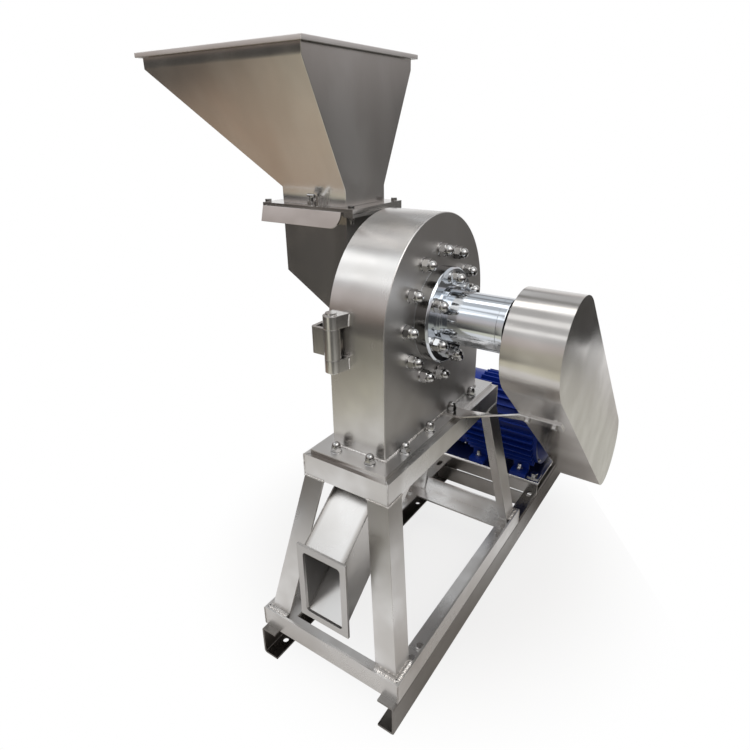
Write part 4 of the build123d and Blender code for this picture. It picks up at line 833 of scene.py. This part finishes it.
sockets = {"Instances": placed, "Rotation": about, "Local Space": True}
spun = given.node("GeometryNodeRotateInstances", {}, sockets)
real = given.node("GeometryNodeRealizeInstances", {}, {"Geometry": spun})
dressed = given.node("GeometryNodeSetMaterial", {}, {"Geometry": real, "Material": given.out("Material")})
given.node("NodeGroupOutput", {}, {"Pieces": dressed})
print("tree inputs:", ", ".join(socket_id))


# %% Copies as one plain mesh
def copies(name, form, places, material, spin=0.0, seed=1):
    """One plain mesh with the form at every (point, turn, size)."""
    cloud = new_mesh(name, [point for point, turn, size in places], [])
    for label, column in (("turn", 1), ("size", 2)):
        layer = cloud.attributes.new(label, "FLOAT_VECTOR", "POINT")
        for i, row in enumerate(places):
            layer.data[i].vector = row[column]
    pattern = bpy.data.objects.new(name + "_form", form)
    made = piece_of(cloud, name, material)
    grow = made.modifiers.new("copies", "NODES")
    grow.node_group = copier
    for label, value in (("Shape", pattern), ("Spin", spin), ("Seed", seed), ("Material", material)):
        grow[socket_id[label]] = value
    plain(made)
    bpy.data.objects.remove(pattern)
    print(name, len(places), "copies,", len(made.data.polygons), "faces")
    return made


# %% Boxes of the separate solids of a node
UP = (0, 0, 0)  # turns of a form that is made upright
TO_THE_RIGHT = (0, math.pi / 2, 0)  # along the shaft, away from the door
FULL = (1, 1, 1)


def islands(node):
    """The box of every separate solid, as (low corner, high corner), always in the same order."""
    shape = clean_copy(node)
    left_over = dict.fromkeys(shape.verts)
    boxes = []
    while left_over:
        solid = [next(iter(left_over))]
        left_over.pop(solid[0])
        for vert in solid:
            for edge in vert.link_edges:
                other = edge.other_vert(vert)
                if other in left_over:
                    left_over.pop(other)
                    solid.append(other)
        columns = list(zip(*(vert.co for vert in solid)))
        boxes.append(tuple(Vector([pick(column) for column in columns]) for pick in (min, max)))
    shape.free()
    return boxes


print("nuts on the base flange:", len(islands("base_cap_nuts")))

# %% [markdown]
# ## Cap nuts
# A cap nut is turned from hexagon bar: a washer face, six flats whose corners are cut back by a cone at
# both ends, and a dome that closes the thread. It could be cut from a prism with solids, but the mesh
# would be ragged. The form here is a stack of rings, and each ring of the hexagon takes the smaller of
# the hexagon and the cone, which gives every flat its curved end.

# %% Rings
SIXTH = math.pi / 3  # a hexagon looks the same after this turn


def ringed(name, rings, steps):
    """A closed form from rings of (height, radius at an angle), from the bottom up."""
    places = []
    faces = []
    for height, radius in rings:
        for i in range(steps):
            a = 2 * math.pi * i / steps
            places.append((radius(a) * math.cos(a), radius(a) * math.sin(a), height))
    for k in range(len(rings) - 1):
        for i in range(steps):
            j = (i + 1) % steps
            faces.append((k * steps + i, k * steps + j, (k + 1) * steps + j, (k + 1) * steps + i))
    faces.append(tuple(reversed(range(steps))))
    faces.append(tuple(range((len(rings) - 1) * steps, len(rings) * steps)))
    return new_mesh(name, places, faces)


def round_ring(radius):
    return lambda a: radius


def hex_ring(flats, limit):
    """A hexagon whose corners are cut back to the limit."""

    def radius(a):
        off = (a + SIXTH / 2) % SIXTH - SIXTH / 2
        return min(flats / 2 / math.cos(off), limit)

    return radius


print("corner of a hexagon two wide:", round(hex_ring(2.0, 2.0)(SIXTH / 2), 3))

# %% Nut under the flange
LOWER_CUT = ((0.0, 0.9), (0.0012, 0.985), (0.0016, 1.0))  # height, and share of the corner that is left
STUD_END = ((-0.003, 0.9), (-0.002, 1.0), (0.0, 1.0))


def lower_nut(flats, stud, below, tall):
    """Rings of the stud's end and of the plain nut under the flange."""
    corner = flats / math.sqrt(3)
    rings = [(height - below, round_ring(stud * share)) for height, share in STUD_END]
    for height, share in LOWER_CUT + ((tall - LOWER_CUT[-1][0], 1.0), (tall, 1.0)):
        rings.append((height - below, hex_ring(flats, corner * share)))
    rings.append((tall - below, round_ring(stud)))
    return rings


print("stud's end under the nut", -1000 * STUD_END[0][0], "mm")

# %% Cap nut
WASHER = 0.0025  # thickness, and how far it reaches beyond the flats
WASHER_CUT = (0.0004, 0.0005)  # height and width of its bevelled edge
HEXAGON = 0.010  # height of the flats of a small nut
CAP = 0.0105  # height of the cap above them
CAP_SHARE = 0.94  # width of the cap to the flats
CAP_RINGS = 6
NUT_STEPS = 36
FOOT_CUT = ((0.0, 0.88), (0.0009, 0.95), (0.002, 1.0))
HEAD_CUT = ((-0.0022, 1.0), (-0.001, 0.95), (0.0, 0.875))


def cap_nut(name, flats, stud, growth, rings):
    """Washer, hexagon and cap above zero, on top of the rings that lie below."""
    corner = flats / math.sqrt(3)
    edge = flats / 2 + WASHER
    rings = rings + [(0.0, round_ring(stud)), (0.0, round_ring(edge))]
    rings += [(WASHER - WASHER_CUT[0], round_ring(edge)), (WASHER, round_ring(edge - WASHER_CUT[1]))]
    top = WASHER + HEXAGON * growth
    for level, cuts in ((WASHER, FOOT_CUT), (top, HEAD_CUT)):
        for height, share in cuts:
            rings.append((level + height, hex_ring(flats, corner * share)))
    cap = flats / 2 * CAP_SHARE
    spring = top + CAP * growth - cap
    rings += [(top, round_ring(cap)), (spring, round_ring(cap))]
    for i in range(1, CAP_RINGS + 1):
        a = math.pi / 2 * i / (CAP_RINGS + 0.5)
        rings.append((spring + cap * math.sin(a), round_ring(cap * math.cos(a))))
    return ringed(name, rings, NUT_STEPS)


print("small cap nut", round(1000 * (WASHER + HEXAGON + CAP), 1), "mm high")

# %% Nuts on the base flange
SMALL_FLATS = 0.019
SMALL_STUD = 0.006  # radius
SMALL_TALL = 0.02033  # hexagon and cap in the solids
LOWER_NUT = 0.0075
GRIP = 0.015  # base flange and angle steel between the nuts
STRAP = 0.004  # the guard's strap lies under one nut

on_flange = []
on_strap = []
for low, high in islands("base_cap_nuts"):
    seat = high.z - WASHER - SMALL_TALL
    row = (((low.x + high.x) / 2, (low.y + high.y) / 2, seat), UP, FULL)
    (on_strap if seat > FLANGE_TOP + STRAP / 2 else on_flange).append(row)
below = lower_nut(SMALL_FLATS, SMALL_STUD, GRIP + LOWER_NUT, LOWER_NUT)
small = cap_nut("small_nut", SMALL_FLATS, SMALL_STUD, 1.0, below)
settle(copies("base_nuts", small, on_flange, bright, SIXTH, 4), "stand", "fasteners", "base_cap_nuts")
below = lower_nut(SMALL_FLATS, SMALL_STUD, GRIP + STRAP + LOWER_NUT, LOWER_NUT)
longer = cap_nut("strap_nut", SMALL_FLATS, SMALL_STUD, 1.0, below)
settle(copies("strap_nut_look", longer, on_strap, bright, SIXTH, 4), "stand", "fasteners")

# %% Nuts of the liner and the bearing
BIG_FLATS = 0.024
BIG_STUD = 0.008
STUD_IN = 0.002  # how far the stud's form goes into the wall
GROWTH = BIG_STUD / SMALL_STUD  # the nut grows with its stud

big = cap_nut("big_nut", BIG_FLATS, BIG_STUD, GROWTH, [(-STUD_IN, round_ring(BIG_STUD))])
for node, name, seed in (("liner_cap_nuts", "liner_nuts", 7), ("bearing_flange_nuts", "flange_nuts", 9)):
    places = []
    for low, high in islands(node):
        seat = high.x - WASHER - SMALL_TALL * GROWTH
        places.append(((seat, (low.y + high.y) / 2, (low.z + high.z) / 2), TO_THE_RIGHT, FULL))
    settle(copies(name, big, places, bright, SIXTH, seed), "stand", "fasteners", node)

# %% [markdown]
# ## Weld beads
# The stand, the duct and the chamber are welded by hand, and a bead is a row of overlapping ripples. It
# could be a rounded bar with a bump on it, but its outline would be straight. So small flat drops are
# laid one after another along each joint, a little uneven in size, and all of them are grown at once at
# the end.

# %% Ripples of a bead
DROP = ((-0.9, 0.42), (-0.4, 0.9), (0.4, 0.9), (0.9, 0.42))  # height and radius of a drop's rings
DROP_STEPS = 8
RIPPLE_LENGTH = 0.8
GOLDEN = 0.618  # steps of this share never fall into a rhythm
LEAST = 0.82  # smallest ripple as a share of the bead's radius
UNEVEN = 0.36  # and how much more the largest has


def ripples(path, radius, step, spread=1.0):
    """Places for ripples along a line of points; spread makes them wider and flatter."""
    row = []
    for a, b in zip(path, path[1:]):
        run = b - a
        count = max(1, int(run.length / step))
        heading = math.atan2(run.y, run.x)
        lean = math.asin(max(-1.0, min(1.0, run.z / run.length)))
        for i in range(count):
            full = radius * (LEAST + UNEVEN * (i * GOLDEN % 1.0))
            size = (radius * RIPPLE_LENGTH, full * spread, full / spread)
            row.append((a + run * (i / count), (0.0, -lean, heading), size))
    return row


drop = ringed("weld_drop", [(height, round_ring(radius)) for height, radius in DROP], DROP_STEPS)
beads = []
print("faces of a drop:", len(drop.polygons))

# %% Beads round the ends of the legs
LEG_BEAD = (0.0028, 0.0022)  # radius of a bead and step between its ripples
LEVEL = 0.99  # upward share in the normal of a level face
L_CORNERS = 6


def end_loops(node, way):
    """Closed outlines of the flat angle-steel ends that face up (1) or down (-1)."""
    shape = clean_copy(node)
    loops = []
    for face in shape.faces:
        if face.normal.z * way > LEVEL and len(face.verts) >= L_CORNERS:
            outline = [Vector(v.co) for v in face.verts]
            loops.append(outline + outline[:1])
    shape.free()
    return loops


for way in (-1, 1):
    for loop in end_loops("stand_legs", way):
        beads += ripples(loop, *LEG_BEAD)
print("ripples so far:", len(beads))

# %% Beads where the legs stand on the base frame
FOOT_BEAD = (0.0050, 0.0038, 1.4)  # radius, step and spread
frame_low, frame_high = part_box("top_frame")
ANGLE_STEEL = frame_high[2] - frame_low[2]
edge_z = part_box("base_frame")[1][2]

for low, high in islands("stand_legs"):
    sx = 1 if low.x + high.x > 0 else -1
    sy = 1 if low.y + high.y > 0 else -1
    foot = Vector((high.x if sx > 0 else low.x, high.y if sy > 0 else low.y, low.z))
    head_x = low.x + ANGLE_STEEL if sx > 0 else high.x - ANGLE_STEEL
    head_y = low.y + ANGLE_STEEL if sy > 0 else high.y - ANGLE_STEEL
    corner = foot.lerp(Vector((head_x, head_y, high.z)), (edge_z - low.z) / (high.z - low.z))
    meet = Vector(((corner.x + foot.x) / 2, (corner.y + foot.y) / 2, edge_z))
    beads += ripples([meet, Vector((meet.x, corner.y - sy * ANGLE_STEEL, edge_z))], *FOOT_BEAD)
    beads += ripples([meet, Vector((corner.x - sx * ANGLE_STEEL, meet.y, edge_z))], *FOOT_BEAD)
print("ripples so far:", len(beads))

# %% Beads on the duct's roof and round the chamber's foot
ROOF_BEAD = (0.0019, 0.0026)
CHAMBER_BEAD = (0.0034, 0.0024)
BEAD_RISE = 0.0005  # the bead's middle above the flange

shape = clean_copy("discharge_duct")
slopes = [face for face in shape.faces if SLOPING < face.normal.z < STRAIGHT]
roof = max(slopes, key=lambda face: face.calc_center_median().z)
for sx in (-1, 1):
    edge = sorted((Vector(v.co) for v in roof.verts if v.co.x * sx > 0), key=lambda place: place.y)
    beads += ripples([edge[0], edge[-1]], *ROOF_BEAD)
shape.free()
house_x = plate_high[0]
house_y = plate_high[1]
foot_z = FLANGE_TOP + BEAD_RISE
corners = ((-house_x, -house_y), (house_x, -house_y), (house_x, house_y), (-house_x, house_y))
beads += ripples([Vector((x, y, foot_z)) for x, y in corners], *CHAMBER_BEAD)
print("ripples so far:", len(beads))

# %% Beads beside the hinge lugs
LUG_BEAD = (0.0030, 0.0022)
LUG_IN = 0.001  # in from the lug's side
LUG_END = 0.002  # in from its ends
LUG_POINTS = 8

for low, high in islands("hinge_lugs"):
    for x in (low.x + LUG_IN, high.x - LUG_IN):
        path = []
        for i in range(LUG_POINTS + 1):
            z = low.z + LUG_END + (high.z - low.z - 2 * LUG_END) * i / LUG_POINTS
            path.append(Vector((x, -math.sqrt(house_y ** 2 - max(0.0, z - AXIS) ** 2), z)))
        beads += ripples(path, *LUG_BEAD)
print("ripples so far:", len(beads))

# %% Beads on the frames' corners
FRAME_BEAD = (0.0017, 0.0016)
FRAME_FOOT = 0.003  # up from the bar's lower edge
FRAME_IN = 0.001  # down from its top
BEAD_SPIN = 0.5  # radians

for node in ("top_frame", "base_frame"):
    low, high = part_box(node)
    for sx in (-1, 1):
        for sy in (-1, 1):
            x = high[0] if sx > 0 else low[0]
            y = high[1] if sy > 0 else low[1]
            top = high[2] - FRAME_IN
            path = [Vector((x, y, low[2] + FRAME_FOOT)), Vector((x, y, top))]
            if node == "top_frame":
                path.append(Vector((x - sx * ANGLE_STEEL, y - sy * ANGLE_STEEL, top)))
            beads += ripples(path, *FRAME_BEAD)
settle(copies("weld_beads", drop, beads, weld, BEAD_SPIN, 3), "stand", "stainless")

# %% [markdown]
# ## Ring screen
# The sieve round the grinding teeth is rolled from punched sheet. Holes could be cut out of a band, but
# thousands of cuts are slow. A six-sided tile that has its hole already is set round the ring
# row by row, every second row moved by half a tile, and two plain hoops close the sides.

# %% Tile of the screen
SCREEN_WALL = 0.002
HOLE_SHARE = 0.62  # hole to half the width of a tile
SIDES = 12  # corners and middles of the six sides


def sieve_tile(name, flat):
    """A six-sided tile with a round hole, its outer face at zero."""
    half_corner = math.cos(SIXTH / 2)
    outline = [flat / (1.0 if i % 2 else half_corner) for i in range(SIDES)]
    hole = [flat * HOLE_SHARE] * SIDES
    places = []
    for radii in (outline, hole):
        for height in (0.0, -SCREEN_WALL):
            for i, radius in enumerate(radii):
                a = 2 * math.pi * i / SIDES
                places.append((radius * math.cos(a), radius * math.sin(a), height))
    faces = []
    for i in range(SIDES):
        j = (i + 1) % SIDES
        faces.append((i, j, 2 * SIDES + j, 2 * SIDES + i))
        faces.append((SIDES + j, SIDES + i, 3 * SIDES + i, 3 * SIDES + j))
        faces.append((2 * SIDES + i, 2 * SIDES + j, 3 * SIDES + j, 3 * SIDES + i))
    return new_mesh(name, places, faces)


print("faces of a tile:", 3 * SIDES)

# %% Holes of the screen
ROWS_WANTED = 11
PLAIN_EDGES = 0.006  # left free of holes, both sides together

screen_low, screen_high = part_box("screen_ring")
ring = (screen_high[1] - screen_low[1]) / 2
wide = screen_high[0] - screen_low[0]
count = int(math.pi * ring / (wide / ROWS_WANTED / math.sqrt(3)))
flat = math.pi * ring / count
pitch = flat * math.sqrt(3)
rows = int((wide - PLAIN_EDGES) / pitch)
first = (screen_low[0] + screen_high[0]) / 2 - pitch * (rows - 1) / 2
places = []
for k in range(rows):
    for i in range(count):
        a = 2 * math.pi * (i + 0.5 * (k % 2)) / count
        point = (first + pitch * k, ring * math.cos(a), AXIS + ring * math.sin(a))
        places.append((point, (a - math.pi / 2, 0.0, 0.0), FULL))
tile = sieve_tile("tile", flat)
settle(copies("screen_holes", tile, places, machined), "stand", "machined_steel", "screen_ring")
print("sieve:", rows, "rows of", count, "holes,", round(2000 * flat * HOLE_SHARE, 2), "mm wide")

# %% Rims of the screen
RIM_STEPS = 96
OVERLAP = 0.4  # of a row, from its middle


def hoop(name, x0, x1, outer, inner, steps):
    """Plain ring round the shaft."""
    places = []
    faces = []
    for i in range(steps):
        a = 2 * math.pi * i / steps
        for x, radius in ((x0, outer), (x1, outer), (x1, inner), (x0, inner)):
            places.append((x, radius * math.cos(a), AXIS + radius * math.sin(a)))
        j = (i + 1) % steps
        for k in range(4):
            m = (k + 1) % 4
            faces.append((4 * i + k, 4 * j + k, 4 * j + m, 4 * i + m))
    return new_mesh(name, places, faces)


last = first + pitch * (rows - 1)
RIMS = {
    "screen_rim_front": (screen_low[0], first - pitch * OVERLAP),
    "screen_rim_back": (last + pitch * OVERLAP, screen_high[0]),
}
for name, (x0, x1) in RIMS.items():
    made = piece_of(hoop(name, x0, x1, ring, ring - SCREEN_WALL, RIM_STEPS), name, machined)
    settle(plain(made), "stand", "machined_steel")
    print(name, round(1000 * (x1 - x0), 2), "mm wide")

# %% [markdown]
# ## Screws of the motor and the bearing
# Covers are held by small hexagon screws: four in the terminal box lid, four round the fan cover, four
# in the motor's end shield and six in the bearing's end cover. They could be solids of the frame, but
# they never come off here. So one head with its washer is copied to every place.

# %% Head of a screw
SCREW_FLATS = 0.008
SCREW_CORNER = 0.0046  # its corners are this far from the middle
SCREW_CUT = 0.0005  # and cut back by this on top
SCREW_WASHER = 0.006  # radius
SCREW_STEPS = 12
SCREW_RINGS = (
    (-0.001, round_ring(SCREW_WASHER)),
    (0.0009, round_ring(SCREW_WASHER)),
    (0.001, hex_ring(SCREW_FLATS, SCREW_CORNER)),
    (0.0042, hex_ring(SCREW_FLATS, SCREW_CORNER)),
    (0.005, hex_ring(SCREW_FLATS, SCREW_CORNER - SCREW_CUT)),
)
head = ringed("screw_head", SCREW_RINGS, SCREW_STEPS)
print("faces of a screw head:", len(head.polygons))

# %% Screws of the motor
LID_EDGE = 0.011  # from the lid's edges to its screws
COVER_EDGE = 0.012  # from the fan cover's open end to its screws
SHIELD = 0.012  # how far the end shield stands out of the frame
SHIELD_R = 0.116  # circle of the end shield's screws

lid_low, lid_high = max(islands("terminal_box"), key=lambda box: box[1].z)
motor_screws = []
for x in (lid_low.x + LID_EDGE, lid_high.x - LID_EDGE):
    for y in (lid_low.y + LID_EDGE, lid_high.y - LID_EDGE):
        motor_screws.append(((x, y, lid_high.z), UP, FULL))
low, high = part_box("motor_fan_cover")
cover_r = (high[1] - low[1]) / 2
cover_x = high[0] - COVER_EDGE
motor_y = (low[1] + high[1]) / 2
motor_z = (low[2] + high[2]) / 2
shield_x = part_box("motor_frame")[1][0] + SHIELD
for i in range(4):
    a = math.pi / 4 + math.pi / 2 * i
    y = math.cos(a)
    z = math.sin(a)
    outwards = (a - math.pi / 2, 0, 0)
    motor_screws.append(((cover_x, motor_y + cover_r * y, motor_z + cover_r * z), outwards, FULL))
    motor_screws.append(((shield_x, motor_y + SHIELD_R * y, motor_z + SHIELD_R * z), TO_THE_RIGHT, FULL))
settle(copies("motor_screws", head, motor_screws, bright, SIXTH, 5), "motor", "fasteners")

# %% Screws of the bearing
COVER_SCREWS = 6
COVER_SCREW_R = 0.047

cover_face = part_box("bearing_cover")[1][0]
places = []
for i in range(COVER_SCREWS):
    a = 2 * math.pi * i / COVER_SCREWS
    point = (cover_face, COVER_SCREW_R * math.cos(a), AXIS + COVER_SCREW_R * math.sin(a))
    places.append((point, TO_THE_RIGHT, FULL))
settle(copies("bearing_screws", head, places, bright, SIXTH, 6), "stand", "fasteners")

# %% [markdown]
# ## Size and end
# The machine keeps the size of its solids.
